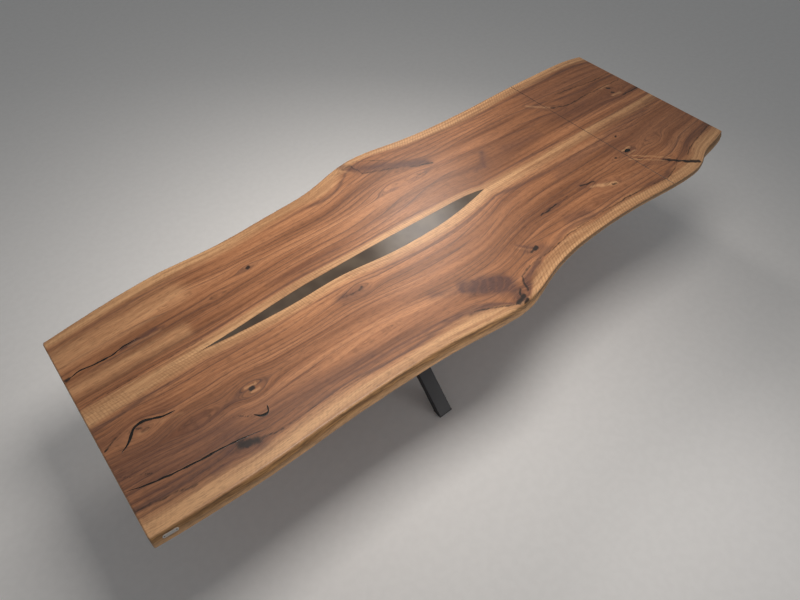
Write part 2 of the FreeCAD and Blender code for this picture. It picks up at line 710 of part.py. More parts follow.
hub = new_body("hub")
hub_square = rectangle(hub, "XY_Plane", "sizes.tube_width", "sizes.tube_width")
pad(hub, hub_square, "sizes.hub_height", "Symmetric")
HUB_INSIDE = "(sizes.tube_width - 2 * sizes.hub_wall)"
pocket(hub, rectangle(hub, "XY_Plane", HUB_INSIDE, HUB_INSIDE), "sizes.hub_height", "Symmetric")
place(hub, x=BASE_MIDDLE, z=HUB_LEVEL)
keep(hub, "hub")
for label, level in (("hub_cap_top", f"{HUB_LEVEL} + sizes.hub_height / 2"),
                     ("hub_cap_bottom", f"{HUB_LEVEL} - sizes.hub_height / 2 - sizes.hub_cap_thickness")):
    cap = plate(label, "sizes.tube_width", "sizes.tube_width", "sizes.hub_cap_thickness")
    place(cap, x=BASE_MIDDLE, z=level)

# Flange bolts with hexagon heads, and the threaded inserts in the wood that take them
bolt_master = hex_fastener("bolt_master", "sizes.bolt_head_width", "sizes.bolt_head_height",
                           "sizes.bolt_diameter", "sizes.flange_thickness + sizes.bolt_reach")
group("flange_bolts", bolt_master, bolt_spots)
insert_master = new_body("insert_master")
pad(insert_master, hexagon(insert_master, "XY_Plane", "sizes.insert_diameter / 2"), "sizes.insert_length")
insert_bore = hexagon(insert_master, "XY_Plane", "sizes.bolt_diameter / 2 + sizes.insert_clearance")
pocket(insert_master, insert_bore, "sizes.insert_length", backwards=True)
to_wood = Placement(Vector(0, 0, value("sizes.flange_thickness")), Rotation())
insert_spots = [end * to_wood for end in bolt_spots]
group("threaded_inserts", insert_master, insert_spots)
INSERT_BORE = "sizes.insert_diameter + 2 * sizes.insert_clearance"
cutters.append(thread_bores("insert_bores", insert_spots, INSERT_BORE, "sizes.insert_length"))

# The bare plate: a thin slot-shaped piece let into the near live edge, held by two pins
upper_edge = curve(live_edge(NEAR_EDGE, -1, 0, top_level))
lower_edge = curve(live_edge(NEAR_EDGE, -1, flare, underside + arris))
plate_x = START + value("sizes.plate_from_end")


def edge_point(edge):
    """The point of a live edge that lies nearest above or below the middle of the plate."""
    near_y = edge.valueAt(edge.FirstParameter).y
    parameter = edge.Curve.parameter(Vector(plate_x, near_y, edge.valueAt(edge.FirstParameter).z))
    return edge.valueAt(parameter), edge.tangentAt(parameter)


above, run = edge_point(upper_edge)
below, lower_run = edge_point(lower_edge)
edge_out = run.cross(above - below).normalize()
plate_turn = Rotation(run, above - below, edge_out, "XYZ")
seat = (above + below) * 0.5 - edge_out * value("sizes.plate_recess")
plate_frame = Placement(seat, plate_turn)
edge_plate = new_body("edge_plate")
plate_outline = slot(edge_plate, "XY_Plane", "sizes.plate_length", "sizes.plate_width")
pad(edge_plate, plate_outline, "sizes.plate_thickness")
PIN_REACH = "(sizes.plate_length / 2 - sizes.plate_pin_inset)"
plate_pin_centres = [(PIN_REACH, "0"), (f"-{PIN_REACH}", "0")]
pocket(edge_plate, circles(edge_plate, "XY_Plane", plate_pin_centres, "sizes.plate_pin_diameter"),
       "sizes.plate_thickness", backwards=True)
edge_plate.Placement = plate_frame
keep(edge_plate, "edge_plate")
plate_seat = new_body("plate_seat")
seat_outline = slot(plate_seat, "XY_Plane", "sizes.plate_length", "sizes.plate_width")
pad(plate_seat, seat_outline, "sizes.slab_thickness")
plate_seat.Placement = plate_frame
PLATE_PIN_LENGTH = "sizes.plate_pin_reach + sizes.plate_thickness + sizes.plate_pin_head"
plate_pin = new_body("plate_pin_master")
pad(plate_pin, circles(plate_pin, "XY_Plane", [("0", "0")], "sizes.plate_pin_diameter"), PLATE_PIN_LENGTH)
into_wood = -value("sizes.plate_pin_reach")
plate_pin_spots = []
for a, b in plate_pin_centres:
    plate_pin_spots.append(plate_frame * Placement(Vector(value(a), value(b), into_wood), Rotation()))
group("edge_plate_pins", plate_pin, plate_pin_spots)
plate_pin_bores = round_bores("plate_pin_bores", plate_pin_spots, "sizes.plate_pin_diameter",
                              "sizes.plate_pin_reach")
cutters += [plate_seat, plate_pin_bores]

# The four boards: the blank sawn along the centre joint and across at the leaf, then bored and grooved
joinery = doc.addObject("Part::MultiFuse", "joinery")
joinery.Shapes = cutters
MARGIN = "(2 * sizes.half_width)"
LEAF_START = f"({SEAM} + sizes.leaf_gap)"
BOARDS = {
    "main_board_far": (LEFT_END, SEAM, "sizes.joint_offset", MARGIN),
    "main_board_near": (LEFT_END, SEAM, f"-{MARGIN}", "sizes.joint_offset"),
    "leaf_board_far": (LEAF_START, RIGHT_END, "sizes.joint_offset", MARGIN),
    "leaf_board_near": (LEAF_START, RIGHT_END, f"-{MARGIN}", "sizes.joint_offset"),
}
for label, (x_low, x_high, y_low, y_high) in BOARDS.items():
    region = block(label + "_region", (x_low, y_low, UNDERSIDE),
                   (f"{x_high} - {x_low}", f"{y_high} - {y_low}", "sizes.slab_thickness"))
    sawn = doc.addObject("Part::Common", label + "_sawn")
    sawn.Base = slab_blank
    sawn.Tool = region
    board = doc.addObject("Part::Cut", label)
    board.Base = sawn
    board.Tool = joinery
    keep(board, label)

doc.recompute()
for item in doc.Objects:
    if "Invalid" in item.State or "Error" in item.State:
        raise RuntimeError(f"{item.Label} failed to build")
for label, piece in nodes.items():
    if piece.Shape.isNull() or not piece.Shape.isValid() or not piece.Shape.Solids:
        raise RuntimeError(f"{label} is not a sound solid")

os.makedirs("parts", exist_ok=True)
for label, piece in nodes.items():
    piece.Shape.exportStep(f"parts/{label}.step")
print(len(nodes), "nodes written")
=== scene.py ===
"""Looks of a live-edge walnut dining table with a resin inlay, a slide-on leaf and a steel spider base."""
import math

import bpy
import numpy as np
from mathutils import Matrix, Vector
from mathutils.geometry import tessellate_polygon


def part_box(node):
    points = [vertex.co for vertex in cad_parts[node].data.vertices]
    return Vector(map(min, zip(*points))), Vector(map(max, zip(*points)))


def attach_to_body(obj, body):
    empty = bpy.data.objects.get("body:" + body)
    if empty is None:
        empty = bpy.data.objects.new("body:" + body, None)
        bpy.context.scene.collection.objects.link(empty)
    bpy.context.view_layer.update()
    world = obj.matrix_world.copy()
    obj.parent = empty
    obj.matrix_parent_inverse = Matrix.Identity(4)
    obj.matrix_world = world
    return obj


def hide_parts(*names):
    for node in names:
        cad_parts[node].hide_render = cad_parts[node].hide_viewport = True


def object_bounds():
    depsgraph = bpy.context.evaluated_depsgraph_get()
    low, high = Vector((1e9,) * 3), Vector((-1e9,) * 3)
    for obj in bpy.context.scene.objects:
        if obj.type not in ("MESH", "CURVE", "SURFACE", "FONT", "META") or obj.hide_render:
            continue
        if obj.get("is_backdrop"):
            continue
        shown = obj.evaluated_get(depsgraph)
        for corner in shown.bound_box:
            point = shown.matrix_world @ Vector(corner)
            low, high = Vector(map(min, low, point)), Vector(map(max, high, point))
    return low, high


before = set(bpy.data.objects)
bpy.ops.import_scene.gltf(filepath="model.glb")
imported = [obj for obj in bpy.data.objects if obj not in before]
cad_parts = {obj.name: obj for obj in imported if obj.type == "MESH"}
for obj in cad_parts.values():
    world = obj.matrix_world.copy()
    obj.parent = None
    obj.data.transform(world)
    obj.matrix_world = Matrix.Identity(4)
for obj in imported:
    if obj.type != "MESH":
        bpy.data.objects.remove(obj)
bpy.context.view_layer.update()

mm = 0.001


# Spider base: four slanting legs and four arms of flat steel tube, welded to a short square hub, with flanges
# under the top and plates at the feet. Black powder coat of fine grain over all of it.
def node(tree, kind, inputs=None, **settings):
    """One shader node: its settings, and its inputs by name or number, as plain values or links."""
    made = tree.nodes.new("ShaderNode" + kind)
    for name, setting in settings.items():
        setattr(made, name, setting)
    for name, given in (inputs or {}).items():
        if isinstance(given, bpy.types.NodeSocket):
            tree.links.new(given, made.inputs[name])
        else:
            made.inputs[name].default_value = given
    return made


def calc(tree, operation, *values):
    """The result of one sum on values or links."""
    return node(tree, "Math", dict(enumerate(values)), operation=operation).outputs[0]


def step(tree, value, low, high):
    """A soft step: 0 below low, 1 above high, smooth between them."""
    made = node(tree, "MapRange", {"Value": value, "From Min": low, "From Max": high},
                interpolation_type="SMOOTHSTEP")
    return made.outputs["Result"]


def blend(tree, factor, first, second, mode="MIX"):
    """Two colours mixed by a factor."""
    made = node(tree, "MixRGB", {"Fac": factor, "Color1": first, "Color2": second}, blend_type=mode)
    return made.outputs["Color"]


def place_of(tree):
    """The place of a point in metres."""
    return node(tree, "TexCoord").outputs["Object"]


def effect(name, inputs, outputs):
    """An empty node group with its sockets: inputs and outputs by name and kind."""
    group = bpy.data.node_groups.new(name, "ShaderNodeTree")
    for direction, sockets in (("INPUT", inputs), ("OUTPUT", outputs)):
        for label, kind in sockets.items():
            group.interface.new_socket(label, in_out=direction, socket_type="NodeSocket" + kind)
    return group, group.nodes.new("NodeGroupInput").outputs, group.nodes.new("NodeGroupOutput").inputs


def use(tree, group, inputs):
    """The outputs of a node group set into a material."""
    return node(tree, "Group", inputs, node_tree=group).outputs


def new_material(name):
    """A material with its shader joined to its output."""
    material = bpy.data.materials.new(name)
    material.use_nodes = True
    tree = material.node_tree
    return material, tree, tree.nodes["Principled BSDF"]


def surface(tree, shader, colour, rough, height=None, strength=0.0, distance=0.0):
    """Links a shader's colour and roughness, and its relief from a height where there is one."""
    tree.links.new(colour, shader.inputs["Base Color"])
    tree.links.new(rough, shader.inputs["Roughness"])
    if height is not None:
        bump = node(tree, "Bump", {"Height": height, "Strength": strength, "Distance": distance})
        tree.links.new(bump.outputs[0], shader.inputs["Normal"])


speckle, given, result = effect(
    "speckle", {"Place": "Vector", "Scale": "Float"}, {"Fine": "Float", "Broad": "Float"})
fine = node(speckle, "TexNoise", {"Vector": given["Place"], "Scale": given["Scale"], "Detail": 3.0})
broad = node(speckle, "TexNoise", {"Vector": given["Place"], "Scale": 9.0, "Detail": 2.0})
speckle.links.new(fine.outputs["Fac"], result["Fine"])
speckle.links.new(broad.outputs["Fac"], result["Broad"])


def finish(name, first, second, scale, rough, metallic=0.0, relief=0.1):
    """A finish of two close colours in fine speckle, with a matching relief and uneven gloss."""
    material, tree, shader = new_material(name)
    grain = use(tree, speckle, {"Place": place_of(tree), "Scale": scale})
    mixed = blend(tree, step(tree, grain["Fine"], 0.35, 0.65), first, second)
    worn = calc(tree, "ADD", rough - 0.06, calc(tree, "MULTIPLY", grain["Broad"], 0.12))
    surface(tree, shader, mixed, worn, grain["Fine"], relief, 0.0004)
    shader.inputs["Metallic"].default_value = metallic
    return material


def dress(material, *names):
    """Gives solids of the frame a material."""
    for name in names:
        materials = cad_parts[name].data.materials
        materials.clear()
        materials.append(material)


def put_mesh(name, points, faces, materials, face_slots=None, marks=None):
    """A mesh object at the origin from points and faces, with values at its points for the material."""
    mesh = bpy.data.meshes.new(name)
    mesh.from_pydata(points, [], faces)
    for material in materials:
        mesh.materials.append(material)
    if face_slots is not None:
        mesh.polygons.foreach_set("material_index", np.asarray(face_slots, np.int32))
    for label, values in (marks or {}).items():
        mesh.attributes.new(label, "FLOAT", "POINT").data.foreach_set("value", values.astype(np.float32))
    mesh.polygons.foreach_set("use_smooth", np.ones(len(mesh.polygons), bool))
    mesh.set_sharp_from_angle(angle=math.radians(35))
    piece = bpy.data.objects.new(name, mesh)
    bpy.context.scene.collection.objects.link(piece)
    return piece


def attach(piece, body, slot, *stands_for):
    """Fixes a piece to a body and hides the solids it stands for; the slot is not used."""
    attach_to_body(piece, body)
    if stands_for:
        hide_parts(*stands_for)


def grid_faces(rows, columns, along=False):
    """Four-sided faces of a grid of points, closed round its columns, and also along its rows if asked."""
    i, j = np.meshgrid(np.arange(rows if along else rows - 1), np.arange(columns), indexing="ij")
    after = (i + 1) % rows
    beside = (j + 1) % columns
    quads = [i * columns + j, after * columns + j, after * columns + beside, i * columns + beside]
    return np.stack(quads, -1).reshape(-1, 4)


def capped(rows, columns, way=1):
    """Faces of a tube-like grid with filled ends; way is -1 where its sections run the other way round."""
    faces = grid_faces(rows, columns)[:, ::way].tolist()
    first = list(range(columns))
    last = [columns * (rows - 1) + n for n in range(columns)]
    return faces + [first[::-way], last[::way]]


def join(parts):
    """Several lots of points and faces as one."""
    points = []
    faces = []
    count = 0
    for part_points, part_faces in parts:
        points.append(np.asarray(part_points, float))
        faces += [[number + count for number in face] for face in part_faces]
        count += len(part_points)
    return np.concatenate(points), faces


ARMS = ("near", "far", "left", "right")
bead_pitch = 3.4 * mm
BEAD_SIDES = 10


def bead(path, radius, closed):
    """A weld bead: a round section carried along a path, swelling and sinking once in every pitch."""
    ahead = np.roll(path, -1, 0) - np.roll(path, 1, 0)
    if not closed:
        ahead[0] = path[1] - path[0]
        ahead[-1] = path[-1] - path[-2]
    ahead /= np.linalg.norm(ahead, axis=1)[:, None]
    first = np.cross(ahead, [[0, 0, 1.0]])
    second = np.cross(ahead, first)
    travel = np.concatenate([[0], np.cumsum(np.linalg.norm(np.diff(path, axis=0), axis=1))])
    swell = radius * (1 + 0.13 * np.abs(np.sin(math.pi * travel / bead_pitch)))
    if not closed:
        swell *= np.clip(np.minimum(travel, travel[-1] - travel) / radius + 0.15, 0.15, 1)
    angle = np.linspace(0, 2 * math.pi, BEAD_SIDES, endpoint=False)[None, :, None]
    spokes = np.cos(angle) * first[:, None] + np.sin(angle) * second[:, None]
    rings = path[:, None] + swell[:, None, None] * spokes
    faces = grid_faces(len(path), BEAD_SIDES, True).tolist() if closed else capped(len(path), BEAD_SIDES)
    return rings.reshape(-1, 3), faces


def rounded_loop(low, high, level, corner):
    """A level rectangle with round corners, as points about a millimetre apart."""
    turn = np.linspace(0, math.pi / 2, 7)
    middles = [(high[0] - corner, high[1] - corner), (low[0] + corner, high[1] - corner),
               (low[0] + corner, low[1] + corner), (high[0] - corner, low[1] + corner)]
    bends = []
    for quarter, (x, y) in enumerate(middles):
        bend = turn + quarter * math.pi / 2
        bends.append(np.column_stack([x + corner * np.cos(bend), y + corner * np.sin(bend)]))
    outline = np.concatenate(bends + [bends[0][:1]])
    travel = np.concatenate([[0], np.cumsum(np.linalg.norm(np.diff(outline, axis=0), axis=1))])
    even = np.linspace(0, travel[-1], int(travel[-1] / (0.9 * mm)), endpoint=False)
    return np.column_stack([np.interp(even, travel, outline[:, 0]), np.interp(even, travel, outline[:, 1]),
                            np.full(len(even), level)])


powder_coat = finish("black_powder_coat", (0.023, 0.022, 0.024, 1), (0.041, 0.039, 0.042, 1), 900, 0.44)
dress(powder_coat, "hub", "hub_cap_bottom", "hub_cap_top", *[f"{part}_{arm}" for arm in ARMS for part in (
    "foot_plate", "lower_leg", "upper_arm", "flange")])
beads = []
tube_corner = 4 * mm
weld_radius = 2.6 * mm
foot_weld_radius = 1.0 * mm
for arm in ARMS:
    low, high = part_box(f"foot_plate_{arm}")
    flange_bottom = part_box(f"flange_{arm}")[0].z
    beads.append(bead(rounded_loop(low, high, high.z, tube_corner), foot_weld_radius, True))
    beads.append(bead(rounded_loop(low, high, flange_bottom, tube_corner), weld_radius, True))
hub_low, hub_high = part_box("hub")
hub_walls = {"near": hub_low.y, "far": hub_high.y, "left": hub_low.x, "right": hub_high.x}
# height of a slanting tube's cut on the hub
tube_rise = {"near": 40.1 * mm, "far": 40.1 * mm, "left": 34.1 * mm, "right": 34.1 * mm}
HUB_POINTS = 80
hub_run = np.linspace(hub_low.x + 2 * mm, hub_high.x - 2 * mm, HUB_POINTS)
across_hub = hub_run - (hub_low.x + hub_high.x) / 2
for arm in ARMS:
    leg_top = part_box(f"lower_leg_{arm}")[1].z
    arm_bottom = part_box(f"upper_arm_{arm}")[0].z
    wall = np.full(HUB_POINTS, hub_walls[arm])
    plan = [hub_run, wall] if arm in ("near", "far") else [wall, across_hub]
    for level in (leg_top - tube_rise[arm], (leg_top + arm_bottom) / 2, arm_bottom + tube_rise[arm]):
        path = np.column_stack([*plan, np.full(HUB_POINTS, level)])
        beads.append(bead(path, weld_radius, False))
attach(put_mesh("weld_beads", *join(beads), [powder_coat]), "table", "black_steel")

# Foot glides and the end caps of the leaf bars: black plastic, moulded, pushed on.
moulded = finish("moulded_plastic", (0.018, 0.018, 0.018, 1), (0.030, 0.030, 0.030, 1), 1200, 0.55)
dress(moulded, "leaf_bar_cap_far", "leaf_bar_cap_near", *[f"foot_glide_{arm}" for arm in ARMS])

# Stiffening channels let into the underside, guides and sliding bars of the leaf: folded and drawn steel,
# black powder coat, screwed to the boards.
dress(powder_coat, "stiffener_left", "stiffener_right", "leaf_stiffener", "leaf_bar_far", "leaf_bar_near",
      "guide_far_inner", "guide_far_outer", "guide_near_inner", "guide_near_outer")

# Threaded inserts and pin bushes of turned brass, pressed into the boards; loose tenons of beech in the glued
# centre joint; ground steel pins in the sawn end of the leaf.
brass = finish("turned_brass", (0.62, 0.44, 0.18, 1), (0.76, 0.57, 0.27, 1), 300, 0.30, 1.0, 0.05)
dress(brass, "threaded_inserts", "pin_bushes")
beech = finish("planed_beech", (0.52, 0.34, 0.20, 1), (0.64, 0.45, 0.28, 1), 160, 0.6)
dress(beech, "joint_tenons", "leaf_joint_tenons")
zinc = finish("zinc_plate", (0.50, 0.51, 0.53, 1), (0.62, 0.62, 0.62, 1), 260, 0.34, 1.0, 0.05)
dress(zinc, "leaf_pins")

# Walnut of the boards: brown heartwood whose growth lines follow the live edges, pale rippled sapwood along
# both edges of each board, dark knots and grey stains, under a satin oil finish.
grain_lines, given, result = effect(
    "grain_lines", {"Along": "Float", "Across": "Float", "Long": "Float", "Fine": "Float", "Detail": "Float"},
    {"Value": "Float"})
drawn_out = node(grain_lines, "CombineXYZ", {
    "X": calc(grain_lines, "MULTIPLY", given["Along"], given["Long"]),
    "Y": calc(grain_lines, "MULTIPLY", given["Across"], given["Fine"]),
})
noise = node(grain_lines, "TexNoise", {
    "Vector": drawn_out.outputs[0], "Scale": 1.0, "Detail": given["Detail"], "Roughness": 0.6,
}, noise_dimensions="2D")
grain_lines.links.new(noise.outputs["Fac"], result["Value"])


def streaks(tree, along, across, along_scale, across_scale, detail=2.0):
    """Noise drawn out along the grain: few waves a metre along it, many across it."""
    return use(tree, grain_lines, {
        "Along": along, "Across": across, "Long": along_scale, "Fine": across_scale, "Detail": detail,
    })["Value"]


def mark(tree, name):
    """A value that the piece's mesh carries at every point."""
    return node(tree, "Attribute", attribute_name=name).outputs["Fac"]


def scaled(tree, value, factor, offset=0.0):
    """A value times a factor, plus an offset."""
    return node(tree, "Math", {0: value, 1: factor, 2: offset}, operation="MULTIPLY_ADD").outputs[0]


walnut, tree, shader = new_material("oiled_walnut")
place = node(tree, "SeparateXYZ", {0: place_of(tree)}).outputs
along = place["X"]
across = mark(tree, "grain")
across = calc(tree, "ADD", across, scaled(tree, streaks(tree, along, across, 0.9, 6.0), 0.05))


def figure(along_scale, across_scale, detail=2.0):
    """Noise drawn out along the grain of the boards."""
    return streaks(tree, along, across, along_scale, across_scale, detail)


tone = figure(0.7, 11.0, 3.0)
bands = figure(1.3, 55.0, 3.0)
fibre = figure(9.0, 420.0)
pores = figure(24.0, 900.0, 1.0)
flecks = figure(34.0, 300.0, 1.0)
heart = node(tree, "ValToRGB", {"Fac": tone})
BROWNS = [(0.25, (0.160, 0.064, 0.029, 1)), (0.42, (0.258, 0.109, 0.048, 1)),
          (0.56, (0.342, 0.149, 0.067, 1)), (0.74, (0.449, 0.209, 0.097, 1))]
shades = heart.color_ramp.elements
shades.new(0.4)
shades.new(0.5)
for shade, (position, brown) in zip(shades, BROWNS):
    shade.position = position
    shade.color = brown
colour = blend(tree, step(tree, bands, 0.30, 0.56), (0.78, 0.72, 0.70, 1), (1.09, 1.07, 1.05, 1))
colour = blend(tree, 1.0, heart.outputs["Color"], colour, "MULTIPLY")
# growth lines: a sharp dark side and a soft side, strong in some stretches and faint in others; lines to a
# metre, their wandering in lines, strength and sharpness
for per_metre, wander, strength, sharpness in ((46.0, 9.0, 0.90, 5.6), (134.0, 13.0, 0.52, 10.0)):
    rings = calc(tree, "ADD", scaled(tree, across, per_metre),
                 scaled(tree, figure(0.6, 4.0, 1.0), wander))
    late = calc(tree, "POWER", calc(tree, "FRACT", rings), sharpness)
    late = calc(tree, "MULTIPLY", late, step(tree, figure(1.1, 17.0, 1.0), 0.34, 0.58))
    colour = blend(tree, scaled(tree, late, strength), colour, (0.080, 0.038, 0.028, 1))
# sapwood with its dark border and its cross ripple
sap = calc(tree, "ADD", mark(tree, "sap"), scaled(tree, figure(2.5, 38.0), 0.5, -0.25))
border = calc(tree, "ABSOLUTE", scaled(tree, sap, 1.0, 0.12))
border = calc(tree, "SUBTRACT", 1.0, step(tree, border, 0.0, 0.22))
border = calc(tree, "MULTIPLY", border, step(tree, figure(1.7, 11.0, 1.0), 0.30, 0.60))
colour = blend(tree, scaled(tree, border, 0.70), colour, (0.108, 0.050, 0.034, 1))
# the ripple leans by 0.26 at the centre joint, and the other way by 0.6 at the live edges, where it is wider
ripple_turn = 560.0
aside = calc(tree, "ABSOLUTE", place["Y"])
outer = step(tree, aside, 0.15, 0.20)
lean = calc(tree, "MULTIPLY", place["Y"], scaled(tree, aside, -1.03, 0.26))
wave = scaled(tree, calc(tree, "ADD", along, lean), ripple_turn)
wave = calc(tree, "MULTIPLY", wave, scaled(tree, outer, -0.26, 1.0))
wave = calc(tree, "ADD", wave, scaled(tree, figure(9.0, 10.0, 1.0), 9.0))
ripple = calc(tree, "POWER", scaled(tree, calc(tree, "SINE", wave), 0.5, 0.5), 2.0)
# it comes in patches at the joint, is even on the hollow shoulder of the edges and faint on the rest of them
shoulder = calc(tree, "SUBTRACT", step(tree, along, 0.02, 0.10), step(tree, along, 0.95, 1.10))
patches = step(tree, figure(9.0, 14.0, 1.0), 0.28, 0.64)
patches = calc(tree, "MAXIMUM", patches, scaled(tree, shoulder, 0.85))
ripple = calc(tree, "MULTIPLY", ripple, patches)
calm = calc(tree, "MULTIPLY", outer, scaled(tree, shoulder, -1.0, 0.6))
ripple = calc(tree, "MULTIPLY", ripple, scaled(tree, calm, -1.0, 1.0))
sapwood = blend(tree, step(tree, bands, 0.30, 0.66), (0.400, 0.206, 0.097, 1), (0.607, 0.344, 0.168, 1))
sapwood = blend(tree, scaled(tree, ripple, 0.40), sapwood, (0.283, 0.137, 0.060, 1))
colour = blend(tree, scaled(tree, step(tree, sap, -0.12, 0.58), 0.94), colour, sapwood)
# grey stains, with thin paler ribs where strongest, pale rims and dark knots, broken up by the grain
grit = scaled(tree, figure(60.0, 150.0, 3.0), 1.0, -0.5)
smear = scaled(tree, figure(5.0, 60.0, 3.0), 1.0, -0.5)
stain = mark(tree, "stain")
comb = calc(tree, "ADD", scaled(tree, along, 135.0), scaled(tree, place["Y"], -138.0))
comb = calc(tree, "ADD", comb, scaled(tree, figure(9.0, 9.0, 1.0), 13.0))
ribs = calc(tree, "POWER", scaled(tree, calc(tree, "SINE", comb), 0.5, 0.5), 3.0)
ribs = calc(tree, "MULTIPLY", ribs, step(tree, stain, 0.70, 1.10))
ribs = calc(tree, "MULTIPLY", ribs, calc(tree, "LESS_THAN", place["Y"], 0.0))
stain = calc(tree, "MINIMUM", calc(tree, "MULTIPLY", stain, scaled(tree, smear, 1.2, 0.82)), 0.88)
stain = calc(tree, "MULTIPLY", stain, scaled(tree, ribs, -0.20, 1.0))
colour = blend(tree, stain, colour, (0.080, 0.036, 0.030, 1))
# pale marks: pale rims of knots, and a painted highlight on the arrises of the outer ends
pale = calc(tree, "MULTIPLY", mark(tree, "pale"), scaled(tree, smear, 1.4, 1.0))
colour = blend(tree, scaled(tree, step(tree, pale, 0.0, 1.15), 0.80), colour, (0.593, 0.323, 0.157, 1))
dark = calc(tree, "ADD", mark(tree, "dark"), scaled(tree, grit, 0.5))
dark = calc(tree, "ADD", dark, scaled(tree, smear, 0.35))
colour = blend(tree, scaled(tree, step(tree, dark, 0.26, 0.78), 0.95), colour, (0.016, 0.010, 0.008, 1))
# the live edge below the top: golden brown in runs; the pale towards its lower arris is a painted highlight
# along that arris
edge = mark(tree, "edge")
runs = figure(6.0, 160.0, 3.0)
live_edge_colour = blend(tree, step(tree, runs, 0.30, 0.70), (0.117, 0.055, 0.018, 1), (0.400, 0.206, 0.071, 1))
# painted highlight: the edge turns pale towards its lower arris
live_edge_colour = blend(tree, step(tree, edge, 0.30, 0.96), live_edge_colour, (0.580, 0.338, 0.170, 1))
colour = blend(tree, scaled(tree, step(tree, edge, 0.03, 0.14), 0.88), colour, live_edge_colour)
open_pores = calc(tree, "MULTIPLY", scaled(tree, step(tree, pores, 0.58, 0.72), -0.26, 1.0),
                  scaled(tree, step(tree, flecks, 0.50, 0.72), -0.24, 1.03))
shade = calc(tree, "MULTIPLY", scaled(tree, fibre, 0.34, 0.83), open_pores)
shade = node(tree, "CombineColor", {0: shade, 1: shade, 2: shade}).outputs[0]
colour = blend(tree, 1.0, colour, shade, "MULTIPLY")
rough = calc(tree, "ADD", scaled(tree, bands, 0.12, 0.36), scaled(tree, step(tree, edge, 0.0, 0.2), 0.12))
relief = calc(tree, "SUBTRACT", scaled(tree, fibre, 0.6), step(tree, pores, 0.60, 0.72))
surface(tree, shader, colour, rough, relief, 0.12, 0.0006)
shader.inputs["Specular IOR Level"].default_value = 0.42

# End grain of the boards: growth rings as flat arcs across the thickness, pores as fine dots.
end_grain, tree, shader = new_material("walnut_end_grain")
place = node(tree, "SeparateXYZ", {0: place_of(tree)}).outputs
arch = scaled(tree, calc(tree, "POWER", calc(tree, "ABSOLUTE", place["Y"]), 2.0), 0.45)
rings = streaks(tree, place["Y"], calc(tree, "SUBTRACT", place["Z"], arch), 7.0, 240.0, 3.0)
dots = use(tree, speckle, {"Place": place_of(tree), "Scale": 700.0})["Fine"]
colour = blend(tree, step(tree, rings, 0.30, 0.66), (0.110, 0.054, 0.030, 1), (0.390, 0.214, 0.115, 1))
colour = blend(tree, step(tree, dots, 0.52, 0.70), colour, (0.072, 0.036, 0.021, 1))
colour = blend(tree, step(tree, mark(tree, "sap"), 0.0, 0.3), colour, (0.60, 0.36, 0.185, 1))
surface(tree, shader, colour, scaled(tree, rings, 0.2, 0.42), dots, 0.15, 0.0005)


# Lines of the top: the live edges and the rims of the inlay, which the boards share with their solids, and
# the width of the sapwood along both edges of the boards.
def node_points(name):
    """All corner points of a solid, as rows of x, y, z."""
    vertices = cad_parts[name].data.vertices
    flat = np.empty(3 * len(vertices), np.float32)
    vertices.foreach_get("co", flat)
    return flat.reshape(-1, 3).astype(float)


def smooth_line(pairs):
    """A curve through pairs: cubic pieces with the mean slope of both neighbours."""
    pairs = np.asarray(pairs, float)
    x, first = np.unique(np.round(pairs[:, 0], 5), return_index=True)
    y = pairs[first, 1]
    slope = np.gradient(y, x)

    def at(q):
        piece = np.clip(np.searchsorted(x, q) - 1, 0, len(x) - 2)
        width = x[piece + 1] - x[piece]
        s = np.clip((q - x[piece]) / width, 0, 1)
        rise = s * s * (3 - 2 * s)
        start = s * (1 - s) ** 2 * width * slope[piece]
        end = s * s * (s - 1) * width * slope[piece + 1]
        return y[piece] * (1 - rise) + y[piece + 1] * rise + start + end

    return at


SIDES = {"far": 1, "near": -1}
board_low, board_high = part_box("main_board_far")
top = board_high.z
underside = board_low.z
joint = board_low.y
edge_flare = 16 * mm
lower_arris = 5 * mm
widest = {}
for side in SIDES:
    points = np.concatenate([node_points(f"main_board_{side}"), node_points(f"leaf_board_{side}")])
    level = np.abs(points[:, 2] - underside - lower_arris) < 0.2 * mm
    points = points[level & (np.abs(points[:, 1]) > 300 * mm)]
    widest[side] = smooth_line(np.column_stack([points[:, 0], np.abs(points[:, 1])]))
rim = node_points("resin_inlay")
rim = rim[rim[:, 2] > top - 0.2 * mm]
inlay_ends = (rim[:, 0].min(), rim[:, 0].max())
inlay_rim = {"far": smooth_line(rim[rim[:, 1] >= joint - 0.01 * mm]),
             "near": smooth_line(rim[rim[:, 1] <= joint + 0.01 * mm])}


def inner_line(side, x):
    """The inner side of a board: the glued centre joint, or the rim of the inlay where that lies."""
    inside = (x > inlay_ends[0]) & (x < inlay_ends[1])
    return np.where(inside, inlay_rim[side](x), joint)


# places along the table and widths there, in millimetres
OUTER_SAP = {
    "far": smooth_line([(-1450, 38), (-1240, 56), (-800, 58), (-390, 62), (-200, 88), (-100, 52), (0, 36),
                        (200, 54), (500, 55), (900, 57), (1450, 58)]),
    "near": smooth_line([(-1450, 82), (-1316, 88), (-1220, 90), (-1125, 76), (-1060, 70), (-807, 78),
                         (-694, 76), (-554, 63), (-399, 60), (-297, 71), (-222, 80), (-119, 50), (-55, 15),
                         (20, 16), (60, 38), (115, 54), (165, 57), (260, 54), (390, 62), (520, 46), (735, 54),
                         (960, 46), (1060, 64), (1170, 68), (1235, 68), (1450, 62)]),
}
INNER_SAP = {
    "far": smooth_line([(-1450, 34), (-1000, 38), (-500, 34), (0, 34), (292, 30), (500, 17), (800, 9),
                        (1450, 5)]),
    "near": smooth_line([(-1450, 62), (-1250, 55), (-1000, 50), (-300, 46), (292, 46), (500, 42), (800, 36),
                         (1100, 30), (1450, 26)]),
}

